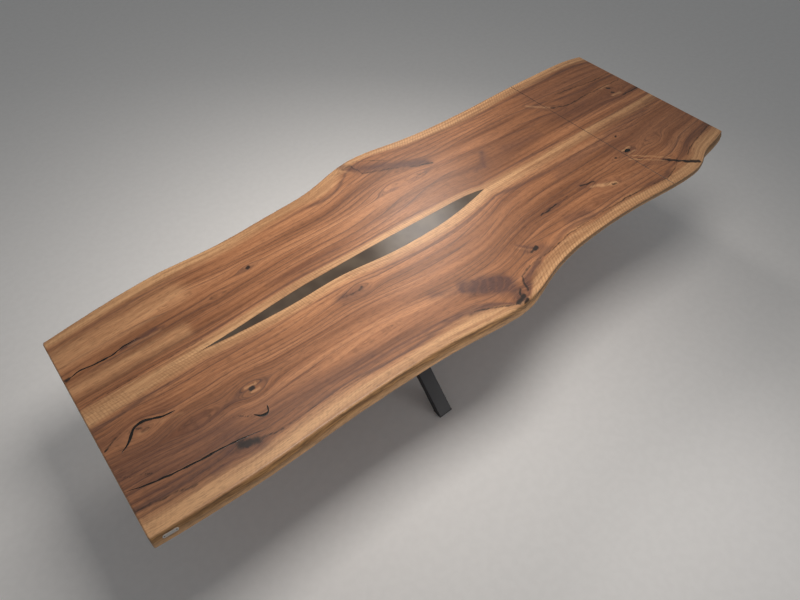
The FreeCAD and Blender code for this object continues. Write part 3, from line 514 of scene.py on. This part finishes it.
# Knots, stains and pale rims of the top, in millimetres: start, end, half width and strength of a stroke.
DARK_STROKES = [
    (-1111, -360, -1064, -376, 21, 0.85), (-1093, -371, -1085, -371, 14, 1.1),
    (-1244, -367, -1111, -366, 8, 0.45), (-1064, -378, -976, -390, 6, 0.7),
    (-976, -390, -852, -388, 4, 0.6), (-852, -388, -600, -394, 3, 0.55), (-984, -213, -978, -213, 9, 1.1),
    (-1330, -124, -1318, -129, 6, 0.75), (-1441, -135, -1411, -120, 5, 0.7),
    (-1411, -120, -1379, -109, 4, 0.6), (-1444, -236, -1358, -280, 3, 0.6),
    (-1449, -349, -1270, -388, 7, 0.6), (-1441, 169, -1432, 172, 8, 0.9),
    (-1432, 172, -1397, 180, 3, 0.7), (-1230, 185, -1187, 187, 8, 0.55), (-726, 234, -718, 236, 9, 1.0),
    (-886, 186, -876, 186, 6, 0.4), (-533, -94, -462, -104, 6, 0.5), (-462, -104, -440, -98, 8, 0.65),
    (-100, 469, -62, 474, 10, 0.6), (-62, 474, -48, 400, 7, 0.65), (-48, 400, 70, 350, 9, 0.6),
    (60, 352, 100, 335, 9, 0.55), (140, 310, 192, 286, 9, 0.6), (192, 286, 234, 270, 7, 0.75),
    (-35, 488, 88, 407, 5, 0.6), (88, 407, 225, 285, 4, 0.5), (-6, 258, 2, 256, 7, 0.5),
    (128, 252, 142, 246, 6, 0.55), (-52, -494, -8, -480, 10, 0.95), (-34, -512, -8, -500, 9, 1.0),
    (-20, -470, -2, -452, 6, 0.8), (-44, -502, -202, -425, 5, 0.7), (-202, -425, -300, -424, 4, 0.5),
    (18, -472, 50, -418, 7, 0.75), (50, -418, 115, -395, 5, 0.7), (115, -395, 258, -393, 4, 0.7),
    (258, -393, 389, -374, 4, 0.7), (389, -374, 735, -383, 4, 0.65), (735, -383, 961, -411, 4, 0.7),
    (961, -411, 1057, -387, 4, 0.65), (1057, -387, 1110, -360, 4, 0.6), (173, -353, 206, -349, 8, 0.7),
    (197, -350, 210, -349, 11, 1.1), (355, -241, 457, -233, 3.5, 0.95), (457, -233, 531, -232, 3, 0.7),
    (628, -222, 698, -236, 6, 0.85), (741, -296, 760, -304, 7, 0.7), (893, -196, 899, -196, 8, 0.85),
    (966, 228, 978, 223, 8, 0.9), (974, 225, 1059, 196, 4, 0.8), (1059, 196, 1191, 200, 4, 0.75),
    (1191, 200, 1430, 189, 3.5, 0.75), (1068, 294, 1338, 258, 4, 0.7), (1338, 258, 1446, 258, 4, 0.7),
    (1318, 176, 1326, 166, 8, 0.9), (1308, 138, 1316, 132, 7, 0.9), (1333, 92, 1446, 88, 5, 0.75),
    (1025, -98, 1033, -96, 8, 0.8), (968, -254, 1068, -342, 4, 0.6), (1068, -342, 1120, -392, 9, 0.9),
    (1120, -392, 1166, -432, 11, 1.1), (1168, -372, 1233, -346, 4, 0.7),
    (1233, -346, 1446, -304, 4, 0.65), (-1448, 46, -1251, 51, 3, 0.6), (-1251, 51, -1015, 52, 3, 0.6),
    (-1436, -56, -1256, -46, 3, 0.55), (-1256, -46, -1074, -60, 3, 0.5),
    (-1148, -235, -1069, -272, 2.5, 0.6), (-1069, -272, -1030, -302, 3, 0.7),
]
STAIN_STROKES = [
    (-1250, 178, -1120, 183, 9, 0.95), (-1120, 183, -1095, 180, 5, 0.7),
    (-1150, -358, -1062, -382, 34, 0.75), (-1215, -388, -1130, -380, 12, 0.70),
    (-60, 440, 60, 380, 30, 0.95), (60, 380, 215, 292, 24, 0.95), (-90, 480, -50, 430, 24, 0.75),
    (-273, -283, -161, -323, 20, 0.62), (-150, -325, -90, -360, 28, 2.0), (-90, -360, -25, -400, 37, 2.0),
    (-20, -440, -25, -490, 30, 0.9), (398, 119, 458, 190, 16, 0.66), (353, 121, 398, 125, 14, 0.5),
    (-533, -94, -450, -104, 26, 0.62), (-1440, -190, -1180, -300, 46, 0.55),
    (-1440, -110, -1290, -130, 34, 0.50), (-1400, -330, -1120, -372, 26, 0.50),
    (628, -225, 780, -300, 26, 0.40), (970, -195, 1010, -200, 30, 0.55), (884, 311, 974, 225, 22, 0.45),
    (1250, 120, 1340, 150, 32, 0.45), (430, -320, 520, -340, 30, 0.55), (170, -340, 230, -356, 22, 0.60),
    (150, -294, 200, -346, 5, 0.85), (960, -300, 1060, -340, 24, 0.40), (1060, 240, 1300, 235, 30, 0.35),
    (1150, 120, 1300, 90, 26, 0.40), (560, 150, 760, 130, 22, 0.40), (600, -120, 900, -90, 20, 0.38),
    (-800, -330, -600, -345, 22, 0.42), (-700, 120, -400, 110, 16, 0.35),
    (1000, -60, 1300, -50, 18, 0.40), (960, 350, 1440, 320, 80, 0.34), (1000, 150, 1440, 130, 80, 0.34),
    (990, -150, 1440, -190, 100, 0.42), (1180, -290, 1440, -260, 60, 0.40),
    (-1440, -230, -1120, -290, 95, 0.64), (-1120, -290, -820, -330, 50, 0.42),
    (-1440, -100, -1240, -110, 50, 0.30), (620, -330, 900, -330, 50, 0.22),
    (-772, -352, -652, -369, 6, 0.60), (-652, -369, -489, -377, 6, 0.60),
    (-489, -377, -325, -388, 6, 0.60), (-325, -392, -220, -416, 9, 0.68),
    (-220, -419, -108, -455, 12, 0.80), (-108, -455, -50, -498, 8, 0.75),
    (160, -408, 100, -412, 10, 0.62), (100, -412, 55, -432, 15, 0.74), (55, -432, 18, -478, 16, 0.78),
]
PALE_STROKES = [
    (658, -252, 700, -266, 9, 0.8), (700, -270, 762, -300, 12, 0.95), (940, -236, 1052, -332, 4, 0.85),
    (972, -230, 1092, -336, 4, 0.85), (960, -180, 1010, -182, 5, 0.75), (962, -210, 1010, -211, 5, 0.65),
    (140, -300, 184, -345, 3, 0.45), (-1440, 262, -1000, 285, 60, 0.75),
    (-1440, 120, -1050, 118, 36, 0.70), (884, 311, 965, 235, 10, 0.55), (1290, 190, 1345, 186, 8, 0.6),
    (1290, 118, 1345, 114, 8, 0.6), (-1000, -201, -960, -203, 5, 0.6), (-995, -226, -962, -226, 5, 0.6),
    (-1225, 178, -1110, 170, 5, 0.45), (-1335, -143, -1305, -146, 6, 0.5),
    (-1300, -130, -1200, -160, 7, 0.35), (-100, 455, -85, 430, 10, 0.4),
]
# Places that the grain closes round: x, y, radius, and how many times longer than wide.
EYES = [
    (-1322, -130, 40, 1.7), (-983, -214, 42, 1.6), (-1093, -370, 26, 2.0), (-1180, -210, 34, 2.6),
    (-724, 235, 24, 2.6), (-880, 186, 16, 3.0), (-455, -102, 30, 2.0), (150, 320, 34, 2.8),
    (-85, 462, 36, 1.3), (138, 249, 22, 2.6), (-6, 256, 16, 2.4), (40, 244, 30, 4.6),
    (-25, -486, 40, 1.5), (-80, -372, 34, 2.6), (200, -346, 24, 2.2), (430, -236, 16, 4.0),
    (725, -270, 30, 2.0), (982, -196, 34, 1.7), (970, 228, 26, 1.8), (1318, 155, 40, 1.5),
    (1060, -336, 26, 1.8), (895, -196, 16, 1.8), (1145, -205, 36, 1.9), (1030, -97, 16, 2.0),
    (-550, -300, 20, 7.0), (520, 250, 22, 6.0), (-1000, 255, 18, 7.0), (560, -330, 20, 4.0),
]


def stroke_field(strokes, x, y):
    """The strongest of all strokes at each point: strength times a bell curve of distance over half width."""
    field = np.zeros_like(x)
    for x0, y0, x1, y1, half, strength in strokes:
        run = np.array([x1 - x0, y1 - y0]) * mm
        share = np.clip(((x - x0 * mm) * run[0] + (y - y0 * mm) * run[1]) / (run @ run), 0, 1)
        away = np.hypot(x - x0 * mm - share * run[0], y - y0 * mm - share * run[1]) / (half * mm)
        field = np.maximum(field, strength * np.exp(-away ** 2))
    return field


def flow_round(x, y, sign):
    """How far the eyes push the grain aside: towards both sides of each eye, fading by a bell curve."""
    push = np.zeros_like(x)
    for eye_x, eye_y, radius, stretch in EYES:
        if eye_y * sign > 0:
            size = radius * mm
            dx = (x - eye_x * mm) / (size * stretch)
            dy = (y - eye_y * mm) / size
            push -= 0.8 * size * sign * np.tanh(dy / 0.42) * np.exp(-dx ** 2 - (dy / 1.5) ** 2)
    return push


LATTICE = 64


def lattice_noise(a, b, seed):
    """Smooth noise between -1 and 1: random values on a square lattice, eased between its corners."""
    values = np.random.default_rng(seed).uniform(-1, 1, (LATTICE, LATTICE))
    i = np.floor(a).astype(int)
    j = np.floor(b).astype(int)
    u = a - i
    v = b - j
    u = u * u * (3 - 2 * u)
    v = v * v * (3 - 2 * v)
    here, right = i % LATTICE, (i + 1) % LATTICE
    below, above = j % LATTICE, (j + 1) % LATTICE
    lower = values[here, below] * (1 - u) + values[right, below] * u
    upper = values[here, above] * (1 - u) + values[right, above] * u
    return lower * (1 - v) + upper * v


# The four boards: sawn along the centre joint and across at the leaf, with a live outer edge under the bark
# that flares outwards, and tucks under on the near side beyond the burl; eased arrises, and grooves below
# for the steel channels.
channel_room = 0.5 * mm
GROOVES = [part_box(name) for name in ("stiffener_left", "stiffener_right", "leaf_stiffener")]
groove_half = GROOVES[0][1].y + channel_room
groove_top = GROOVES[0][1].z
grain_span = 0.47
near_grain_start = 1.7
upper_arris = 2 * mm
stroke_depth = 25 * mm
burl_x = -20 * mm
burl_reach = 70 * mm
plate_reach = 44 * mm
BUSH_SIDES = 40
# places along the table, and how far the foot of the live edge stands out there, in millimetres
FLARE = {
    "far": smooth_line([(-1450, 16), (0, 16), (1450, 16)]),
    "near": smooth_line([(-1450, 16), (-100, 16), (0, 14), (100, 8), (300, 1), (500, -5), (950, -6),
                         (1080, -4), (1180, 4), (1260, 10), (1450, 12)]),
}
plate_low, plate_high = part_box("edge_plate")
plate_x = (plate_low.x + plate_high.x) / 2


def board(name, side, x_low, x_high, spacing, low_arris, high_arris, bush=None):
    """A board as a closed section carried along x.

    The section runs over the top from the inner line to the live edge, down the edge, which stands out by
    the flare times the depth, by a bulge and by ripples of noise, and back along the underside. The ends
    are filled. A bush is given as y, z, radius and depth.
    """
    sign = SIDES[side]
    hair = 0.02 * mm
    stations = [np.linspace(x_low, x_high, int((x_high - x_low) / spacing) + 2),
                [x_low + low_arris, x_high - high_arris], [e for e in inlay_ends if x_low < e < x_high]]
    for groove_low, groove_high in GROOVES:
        if x_low < groove_low.x < x_high:
            sides = np.array([groove_low.x - channel_room, groove_high.x + channel_room])
            stations += [sides - hair, sides + hair]
    x = np.unique(np.concatenate(stations))
    inset = np.where(x <= x_low, low_arris, np.where(x >= x_high, high_arris, 0))[:, None]
    inner = (sign * inner_line(side, x))[:, None]
    brink = (widest[side](x) - edge_flare)[:, None]
    in_groove = np.zeros((len(x), 1), bool)
    for groove_low, groove_high in GROOVES:
        in_groove[:, 0] |= (x > groove_low.x - channel_room) & (x < groove_high.x + channel_room)
    x = x[:, None]
    # the top face
    share = np.linspace(0, 1, int(grain_span / spacing) + 1)[None, :]
    top_w = inner + (brink - upper_arris - inset - inner) * share
    top_z = np.broadcast_to(top - inset, top_w.shape)
    # the live edge, from its eased upper arris to the lower one; it lies flat under the plate
    depth = np.concatenate([[0.012, 0.035, 0.07], np.linspace(0.12, 1, 16)])[None, :]
    ease = -upper_arris * np.clip(1 - depth / 0.07, 0, 1) ** 2
    bulge = 1.8 * mm * np.sin(math.pi * depth)
    ripples = (1.5 * lattice_noise(x * 9 + 3, depth * 2.5 + 7 * sign, 11)
               + 0.9 * lattice_noise(x * 34, depth * 5 + 5 * sign, 12)
               + 0.45 * lattice_noise(x * 120, depth * 11, 13)) * mm
    burl = np.exp(-((x - burl_x) / burl_reach) ** 2) * (3.2 * lattice_noise(x * 60, depth * 4, 14)) * mm
    fade = np.clip(depth / 0.12, 0, 1) * np.clip((1.02 - depth) / 0.15, 0.35, 1)
    calm = 1 - np.exp(-((x - plate_x) / plate_reach) ** 4) * (sign < 0)
    flare = FLARE[side](x / mm) * mm * depth
    edge_w = brink + flare + ease + (bulge + (ripples + burl) * fade) * calm - inset
    edge_z = top - inset - (top - underside - lower_arris) * depth + np.zeros_like(x)
    # the underside, in two strips that meet at the ends of the grooves
    outer_w = edge_w[:, -1:] - lower_arris
    rim_w = outer_w + (groove_half + hair - outer_w) * np.linspace(0, 1, 6)[None, :]
    rim_z = np.full_like(rim_w, underside)
    core_w = groove_half - hair + (inner - groove_half + hair) * np.linspace(0, 1, 8)[None, :]
    core_z = np.where(in_groove, groove_top, underside) + np.zeros_like(core_w)
    w = np.concatenate([top_w, edge_w, rim_w, core_w], 1)
    z = np.concatenate([top_z, edge_z, rim_z, core_z], 1)
    rows, columns = w.shape
    points = np.stack([np.broadcast_to(x, w.shape), sign * w, z], -1)
    faces = grid_faces(rows, columns)[:, ::sign].tolist()
    # values that the material reads
    flat_x = points[..., 0]
    flat_y = points[..., 1]
    down = np.zeros_like(w)
    first = top_w.shape[1]
    down[:, first:first + edge_w.shape[1]] = top - edge_z
    grain = np.clip((w - inner) / (brink - inner), 0, 1) * grain_span + down + near_grain_start * (sign < 0)
    grain = grain + flow_round(flat_x, flat_y, sign)
    wander = 1 + 0.2 * lattice_noise(flat_x * 3.2, flat_x * 0 + 2.5 * sign, 21)
    beyond = np.clip((flat_x - inlay_ends[1]) / 0.3, 0, 1)
    joint_sap = 1 - (w - inner) / (INNER_SAP[side](flat_x / mm) * mm * wander * (1 + 0.6 * beyond))
    sap = np.maximum(1 - (brink - w) / (OUTER_SAP[side](flat_x / mm) * mm * wander),
                     joint_sap * (1 - 0.6 * beyond))
    marks = {"grain": grain, "sap": np.clip(sap, -1, 1), "edge": down / (top - underside - lower_arris)}
    shown = np.clip(1 - down / stroke_depth, 0, 1)
    shown[:, first + edge_w.shape[1]:] = 0
    sway_x = flat_x + 5 * mm * lattice_noise(flat_x * 45, flat_y * 60, 22)
    sway_y = flat_y + 3.0 * mm * lattice_noise(flat_x * 38, flat_y * 45, 23)
    sway_y += 1.2 * mm * lattice_noise(flat_x * 110, flat_y * 90, 24)
    for label, strokes in (("dark", DARK_STROKES), ("stain", STAIN_STROKES), ("pale", PALE_STROKES)):
        marks[label] = stroke_field(strokes, sway_x, sway_y) * shown
    # the open pores at the leaf's seam take up more oil; on the arrises of the outer ends a pale colour is a
    # painted highlight
    at_seam = 1.0 * (inset == seam_arris)
    by_seam = np.roll(at_seam, 1) + np.roll(at_seam, -1)
    marks["dark"] = np.maximum(marks["dark"], 0.95 * at_seam + 0.5 * by_seam)
    # painted highlight: pale colour on the arrises of the outer ends
    marks["pale"] = np.maximum(marks["pale"], 1.2 * (inset == end_arris) * shown)
    marks = {label: values.ravel() for label, values in marks.items()}
    points = points.reshape(-1, 3)
    slots = [0] * len(faces)
    # the sawn ends, with a blind hole for a brass bush where one is let in
    for row, outwards in ((0, -1), (rows - 1, 1)):
        outlines = [np.arange(columns) + row * columns]
        if bush is not None and outwards > 0:
            bush_y, bush_z, bush_radius, bush_depth = bush
            angle = np.linspace(0, 2 * math.pi, BUSH_SIDES, endpoint=False)
            mouth = np.column_stack([np.full(BUSH_SIDES, x_high), bush_y + bush_radius * np.cos(angle),
                                     bush_z + bush_radius * np.sin(angle)])
            start = len(points)
            points = np.concatenate([points, mouth, mouth - [bush_depth, 0, 0]])
            blank = np.zeros(2 * BUSH_SIDES)
            marks = {label: np.concatenate([values, blank]) for label, values in marks.items()}
            outlines.append(np.arange(start, start + BUSH_SIDES))
            bottom = np.arange(start + BUSH_SIDES, start + 2 * BUSH_SIDES)
            faces += (grid_faces(2, BUSH_SIDES) + start).tolist() + [bottom.tolist()]
            slots += [1] * (BUSH_SIDES + 1)
        numbers = np.concatenate(outlines)
        for triangle in tessellate_polygon([[Vector(points[n]) for n in outline] for outline in outlines]):
            corners = numbers[list(triangle)]
            a, b, c = points[corners]
            facing = np.cross(b - a, c - a)[0] * outwards
            faces.append([int(n) for n in corners[::1 if facing > 0 else -1]])
            slots.append(1)
    return put_mesh(name, points, faces, [walnut, end_grain], slots, marks)


end_arris = 4.0 * mm
seam_arris = 1.1 * mm
seam_main = board_high.x
seam_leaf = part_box("leaf_board_far")[0].x
left_end = board_low.x
right_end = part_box("leaf_board_far")[1].x
main_spacing = 5 * mm
leaf_spacing = 4 * mm
bush_low, bush_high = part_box("pin_bushes")
bush_radius = (bush_high.z - bush_low.z) / 2
bush_level = (bush_high.z + bush_low.z) / 2
for side, sign in SIDES.items():
    bush = (sign * (bush_high.y - bush_radius), bush_level, bush_radius, bush_high.x - bush_low.x)
    main = board(f"{side}_main_slab", side, left_end, seam_main, main_spacing, end_arris, seam_arris, bush)
    attach(main, "table", "walnut", f"main_board_{side}")
    leaf = board(f"{side}_leaf_slab", side, seam_leaf, right_end, leaf_spacing, seam_arris, end_arris)
    attach(leaf, "leaf", "walnut", f"leaf_board_{side}")

# Resin inlay: smoky resin cast between the boards in the shape of a lens, sanded flush and polished.
smoky_resin, tree, shader = new_material("smoky_resin")
clouds = use(tree, speckle, {"Place": place_of(tree), "Scale": 14.0})
colour = blend(tree, step(tree, clouds["Broad"], 0.3, 0.7),
               (0.062, 0.046, 0.035, 1), (0.100, 0.078, 0.058, 1))
surface(tree, shader, colour, scaled(tree, clouds["Fine"], 0.05, 0.20))
shader.inputs["Specular IOR Level"].default_value = 0.13
resin_gap = 0.05 * mm
LENS_ROWS = 400
LENS_COLUMNS = 9
turn = (1 - np.cos(np.linspace(0, math.pi, LENS_ROWS))) / 2
x = inlay_ends[0] + (inlay_ends[1] - inlay_ends[0]) * (0.0002 + 0.9996 * turn[:, None])
far_y = np.maximum(inlay_rim["far"](x) - resin_gap, joint + resin_gap)
near_y = np.minimum(inlay_rim["near"](x) + resin_gap, joint - resin_gap)
share = np.linspace(0, 1, LENS_COLUMNS)[None, :]
# the top sinks a little from both rims; walls and underside are plain
sink = 0.12 * mm * (1 - (2 * share - 1) ** 4) + 0.03 * mm
y = np.concatenate([near_y + (far_y - near_y) * share, far_y, near_y], 1)
z = np.concatenate([np.broadcast_to(top - sink, (LENS_ROWS, LENS_COLUMNS)),
                    np.full((LENS_ROWS, 2), underside)], 1)
points = np.stack([np.broadcast_to(x, y.shape), y, z], -1).reshape(-1, 3)
faces = capped(LENS_ROWS, LENS_COLUMNS + 2)
attach(put_mesh("resin_lens", points, faces, [smoky_resin]), "table", "smoky_resin", "resin_inlay")

# Black resin in the natural cracks, the knot hole and the bark seam: poured, then scraped nearly flush.
black_resin = finish("black_resin", (0.008, 0.007, 0.006, 1), (0.016, 0.013, 0.011, 1), 60, 0.24)
fill_depth = 3 * mm
fill_rise = 0.3 * mm
fill_spacing = 1.2 * mm
# places across a fill, as shares of its half width: seven over its top, two at its bottom
FILL_SHARES = np.array([-1, -0.7, -0.35, 0, 0.35, 0.7, 1, 1, -1])
FILL_TOP = 7


def crack_fill(path, half_width, seed):
    """A ribbon along a path in millimetres: low dome across, ragged sides, tapering to both tips."""
    path = np.asarray(path, float) * mm
    travel = np.concatenate([[0], np.cumsum(np.linalg.norm(np.diff(path, axis=0), axis=1))])
    run = np.linspace(0, travel[-1], int(travel[-1] / fill_spacing))
    x = smooth_line(np.column_stack([travel, path[:, 0]]))(run)
    y = smooth_line(np.column_stack([travel, path[:, 1]]))(run)
    heading = np.arctan2(np.gradient(y), np.gradient(x))
    taper = np.clip(np.sin(math.pi * run / run[-1]), 0.004, 1) ** 0.6
    half = half_width * mm * taper * (1 + 0.35 * lattice_noise(run * 55, run * 0 + seed, 31))
    sway = half_width * mm * 0.3 * lattice_noise(run * 45, run * 0 + seed, 32)
    u = FILL_SHARES[None, :]
    dome = top + fill_rise * (1 - u ** 2) - 0.05 * mm
    z = np.where(np.arange(len(FILL_SHARES)) < FILL_TOP, dome, top - fill_depth)
    out = half[:, None] * u + sway[:, None]
    x = x[:, None] - np.sin(heading)[:, None] * out
    y = y[:, None] + np.cos(heading)[:, None] * out
    points = np.stack([x, y, np.broadcast_to(z, out.shape)], -1)
    return points.reshape(-1, 3), capped(len(run), len(FILL_SHARES))


far_fill = crack_fill(
    [(-1436, 170), (-1397, 181), (-1348, 176), (-1289, 174), (-1230, 185), (-1190, 187)], 3.4, 1)
attach(put_mesh("far_crack_fill", *far_fill, [black_resin]), "table", "black_fill", "crack_fill_far")
near_fills = join([
    crack_fill([(-1403, -168), (-1372, -149), (-1337, -114), (-1302, -112), (-1260, -130), (-1211, -137)],
               5.0, 2),
    crack_fill([(-1447, -284), (-1365, -307), (-1283, -322), (-1193, -332), (-1113, -341), (-1038, -356)],
               3.6, 3),
    crack_fill([(-1028, -297), (-1008, -316), (-989, -317), (-977, -293)], 4.4, 4),
])
attach(put_mesh("near_crack_fill", *near_fills, [black_resin]), "table", "black_fill", "crack_fills_near")
leaf_fills = join([
    crack_fill([(962, -197), (976, -195), (985, -194), (1000, -193)], 11.0, 5),
    crack_fill([(1050, -325), (1090, -362), (1140, -412)], 3.0, 6),
])
attach(put_mesh("leaf_fill", *leaf_fills, [black_resin]), "leaf", "black_fill", "leaf_knot_fills")

# Hexagon bolts and screws, zinc plated: bolts with washers hold the flanges to the brass inserts, screws hold
# the channels, guides and bars to the boards.
SCREW_SIDES = 48


def hex_screw(x, y, seat, flats, head, shank, reach, washer=0.0):
    """A screw driven upwards: rings up its axis, six-sided at the head with a turned chamfer below."""
    angle = np.linspace(0, 2 * math.pi, SCREW_SIDES, endpoint=False)
    corner = flats / 2 / np.cos(np.mod(angle, math.pi / 3) - math.pi / 6)
    face = flats / 2 * 0.94
    low = seat - head
    chamfer = (corner - face) * math.tan(math.radians(30))
    rings = [(face * 0.02, low), (face, low), (corner, low + chamfer), (corner, seat - washer)]
    if washer:
        disc = flats * 0.72
        rings += [(disc * 0.97, seat - washer), (disc, seat - washer * 0.7), (disc, seat)]
    rings += [(shank, seat), (shank, seat + reach), (shank * 0.05, seat + reach)]
    points = [np.column_stack([x + radius * np.cos(angle), y + radius * np.sin(angle),
                               np.full(SCREW_SIDES, level)]) for radius, level in rings]
    return np.concatenate(points), capped(len(rings), SCREW_SIDES, -1)


bolt_inset = 20 * mm
M8 = {"flats": 13 * mm, "head": 5.3 * mm, "shank": 4 * mm, "reach": 20 * mm, "washer": 1.2 * mm}
bolts = []
for arm in ARMS:
    low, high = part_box(f"flange_{arm}")
    middle = (low + high) / 2
    wide = high.x - low.x > high.y - low.y
    reach = ((high.x - low.x) if wide else (high.y - low.y)) / 2 - bolt_inset
    for way in (-1, 1):
        spot = (middle.x + way * reach, middle.y) if wide else (middle.x, middle.y + way * reach)
        bolts.append(hex_screw(*spot, low.z, **M8))
attach(put_mesh("flange_bolt_set", *join(bolts), [zinc]), "table", "zinc_steel", "flange_bolts")
M6 = {"flats": 10 * mm, "head": 4 * mm, "shank": 3 * mm, "reach": 20 * mm}
channel_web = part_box("stiffener_screws")[0].z + M6["head"]
channel_spread = 270 * mm
for name, body, stands_for, channels in (
        ("channel_screw_set", "table", "stiffener_screws", ("stiffener_left", "stiffener_right")),
        ("leaf_channel_screw_set", "leaf", "leaf_stiffener_screws", ("leaf_stiffener",))):
    middles = [(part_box(channel)[0].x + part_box(channel)[1].x) / 2 for channel in channels]
    screws = [hex_screw(middle, way * channel_spread, channel_web, **M6)
              for middle in middles for way in (-1, 1)]
    attach(put_mesh(name, *join(screws), [zinc]), body, "zinc_steel", stands_for)
guide_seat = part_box("guide_screws")[0].z + M6["head"]
guide_flange_inset = 12.5 * mm
screws = []
for name in ("guide_far_inner", "guide_far_outer", "guide_near_inner", "guide_near_outer"):
    low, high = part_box(name)
    for y in (low.y + guide_flange_inset, high.y - guide_flange_inset):
        screws.append(hex_screw((low.x + high.x) / 2, y, guide_seat, **M6))
attach(put_mesh("guide_screw_set", *join(screws), [zinc]), "table", "zinc_steel", "guide_screws")
dress(zinc, "leaf_bar_screws")

# Bare oval plate on the near live edge: stamped stainless steel with a rolled rim, brushed along its length,
# held by two domed pins of darker steel.
brushed, tree, shader = new_material("brushed_plate")
place = node(tree, "SeparateXYZ", {0: place_of(tree)}).outputs
lines = streaks(tree, place["X"], place["Z"], 40.0, 5200.0, 2.0)
colour = blend(tree, lines, (0.56, 0.53, 0.50, 1), (0.74, 0.70, 0.66, 1))
surface(tree, shader, colour, scaled(tree, lines, 0.20, 0.36), lines, 0.2, 0.0002)
shader.inputs["Metallic"].default_value = 1.0
corners = node_points("edge_plate")
centre = (corners.min(0) + corners.max(0)) / 2
lean = np.linalg.svd(corners - corners.mean(0), full_matrices=False)[2]
long_way = lean[0] * np.sign(lean[0][0])
out_way = lean[2] * -np.sign(lean[2][1])
up_way = np.cross(out_way, long_way)
half_length, plate_radius, half_thick = [np.ptp((corners - centre) @ way) / 2
                                         for way in (long_way, up_way, out_way)]
PLATE_SIDES = 96
angle = np.linspace(0, 2 * math.pi, PLATE_SIDES, endpoint=False)


def on_plate(along_plate, up_plate, height):
    """Places by their distance along the plate, up it and out of it."""
    return centre + np.outer(along_plate, long_way) + np.outer(up_plate, up_way) + height * out_way


# insets of the rim's rings, and their heights as shares of half the thickness
plate_field = 0.72
PLATE_RINGS = [(0.0, -1.0), (0.0, 0.30), (0.12 * mm, 0.62), (0.35 * mm, 0.90), (0.7 * mm, 1.0),
               (1.1 * mm, 0.92), (1.5 * mm, plate_field)]
straight = (half_length - plate_radius) * np.sign(np.round(np.cos(angle), 6))
rings = [on_plate(straight + (plate_radius - inset) * np.cos(angle), (plate_radius - inset) * np.sin(angle),
                  height * half_thick) for inset, height in PLATE_RINGS]
faces = capped(len(rings), PLATE_SIDES, -1)
attach(put_mesh("bare_plate", np.concatenate(rings), faces, [brushed]), "table", "plate_steel", "edge_plate")
pin_spread = half_length - 6 * mm
pin_radius = 1.5 * mm
# radii and heights of the rings of a domed pin, as shares of its radius
PIN_RINGS = [(1.0, -0.8), (1.0, 0.15), (0.8, 0.34), (0.4, 0.46), (0.02, 0.5)]
pins = []
for way in (-1, 1):
    rings = [on_plate(way * pin_spread + radius * pin_radius * np.cos(angle),
                      radius * pin_radius * np.sin(angle),
                      plate_field * half_thick + height * pin_radius) for radius, height in PIN_RINGS]
    pins.append((np.concatenate(rings), capped(len(rings), PLATE_SIDES, -1)))
dark_pin = finish("dark_pin", (0.055, 0.052, 0.050, 1), (0.09, 0.086, 0.082, 1), 260, 0.42, 1.0, 0.05)
attach(put_mesh("plate_pin_set", *join(pins), [dark_pin]), "table", "plate_steel", "edge_plate_pins")

# Floor, light and camera: a plain pale floor, one wide soft light overhead, one beyond the far side whose
# reflection lies on the middle of the top, a weak one low in front for the legs, and a pale surround.
floor_half = 9.0
corners = [(-floor_half, -floor_half, 0), (floor_half, -floor_half, 0),
           (floor_half, floor_half, 0), (-floor_half, floor_half, 0)]
pale_floor = finish("pale_floor", (0.89, 0.88, 0.865, 1), (0.91, 0.90, 0.885, 1), 30, 0.8)
put_mesh("floor", corners, [(0, 1, 2, 3)], [pale_floor])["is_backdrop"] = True
world = bpy.data.worlds.new("studio")
world.use_nodes = True
surround = world.node_tree.nodes["Background"].inputs
surround["Color"].default_value = (0.86, 0.88, 0.90, 1)
surround["Strength"].default_value = 0.22
bpy.context.scene.world = world


def soft_light(name, spot, aim, width, depth, watts, spread, tint):
    """A rectangular area light at a place, turned towards a point, that spreads over so many degrees."""
    light = bpy.data.lights.new(name, "AREA")
    light.shape = "RECTANGLE"
    light.size = width
    light.size_y = depth
    light.energy = watts
    light.spread = math.radians(spread)
    light.color = tint
    lamp = bpy.data.objects.new(name, light)
    lamp.location = spot
    lamp.rotation_euler = (Vector(aim) - Vector(spot)).to_track_quat("-Z", "Y").to_euler()
    bpy.context.scene.collection.objects.link(lamp)


soft_light("overhead_light", (-0.30, -0.32, 2.75), (-0.28, 0.06, 0.76), 1.1, 0.8, 20, 125,
           (1.0, 0.95, 0.90))
soft_light("far_light", (0.86, 0.89, 2.01), (-0.06, 0.0, 0.76), 0.44, 0.44, 8.7, 150, (1.0, 0.94, 0.88))
soft_light("low_light", (0.86, -2.5, 0.68), (-0.20, -0.30, 0.15), 1.0, 0.6, 1.5, 90, (1.0, 0.97, 0.96))

camera = bpy.data.cameras.new("camera")
camera.sensor_width = 36.0
camera.lens = 27.0
camera.shift_x = 0.065
viewer = bpy.data.objects.new("camera", camera)
viewer.location = (-1.335, -1.175, 2.418)
look_down = math.radians(51.13)
look_right = math.radians(37.49)
viewer.rotation_euler = (math.pi / 2 - look_down, 0, -look_right)
bpy.context.scene.collection.objects.link(viewer)
bpy.context.scene.camera = viewer
bpy.context.scene.view_settings.view_transform = "Standard"

low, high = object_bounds()
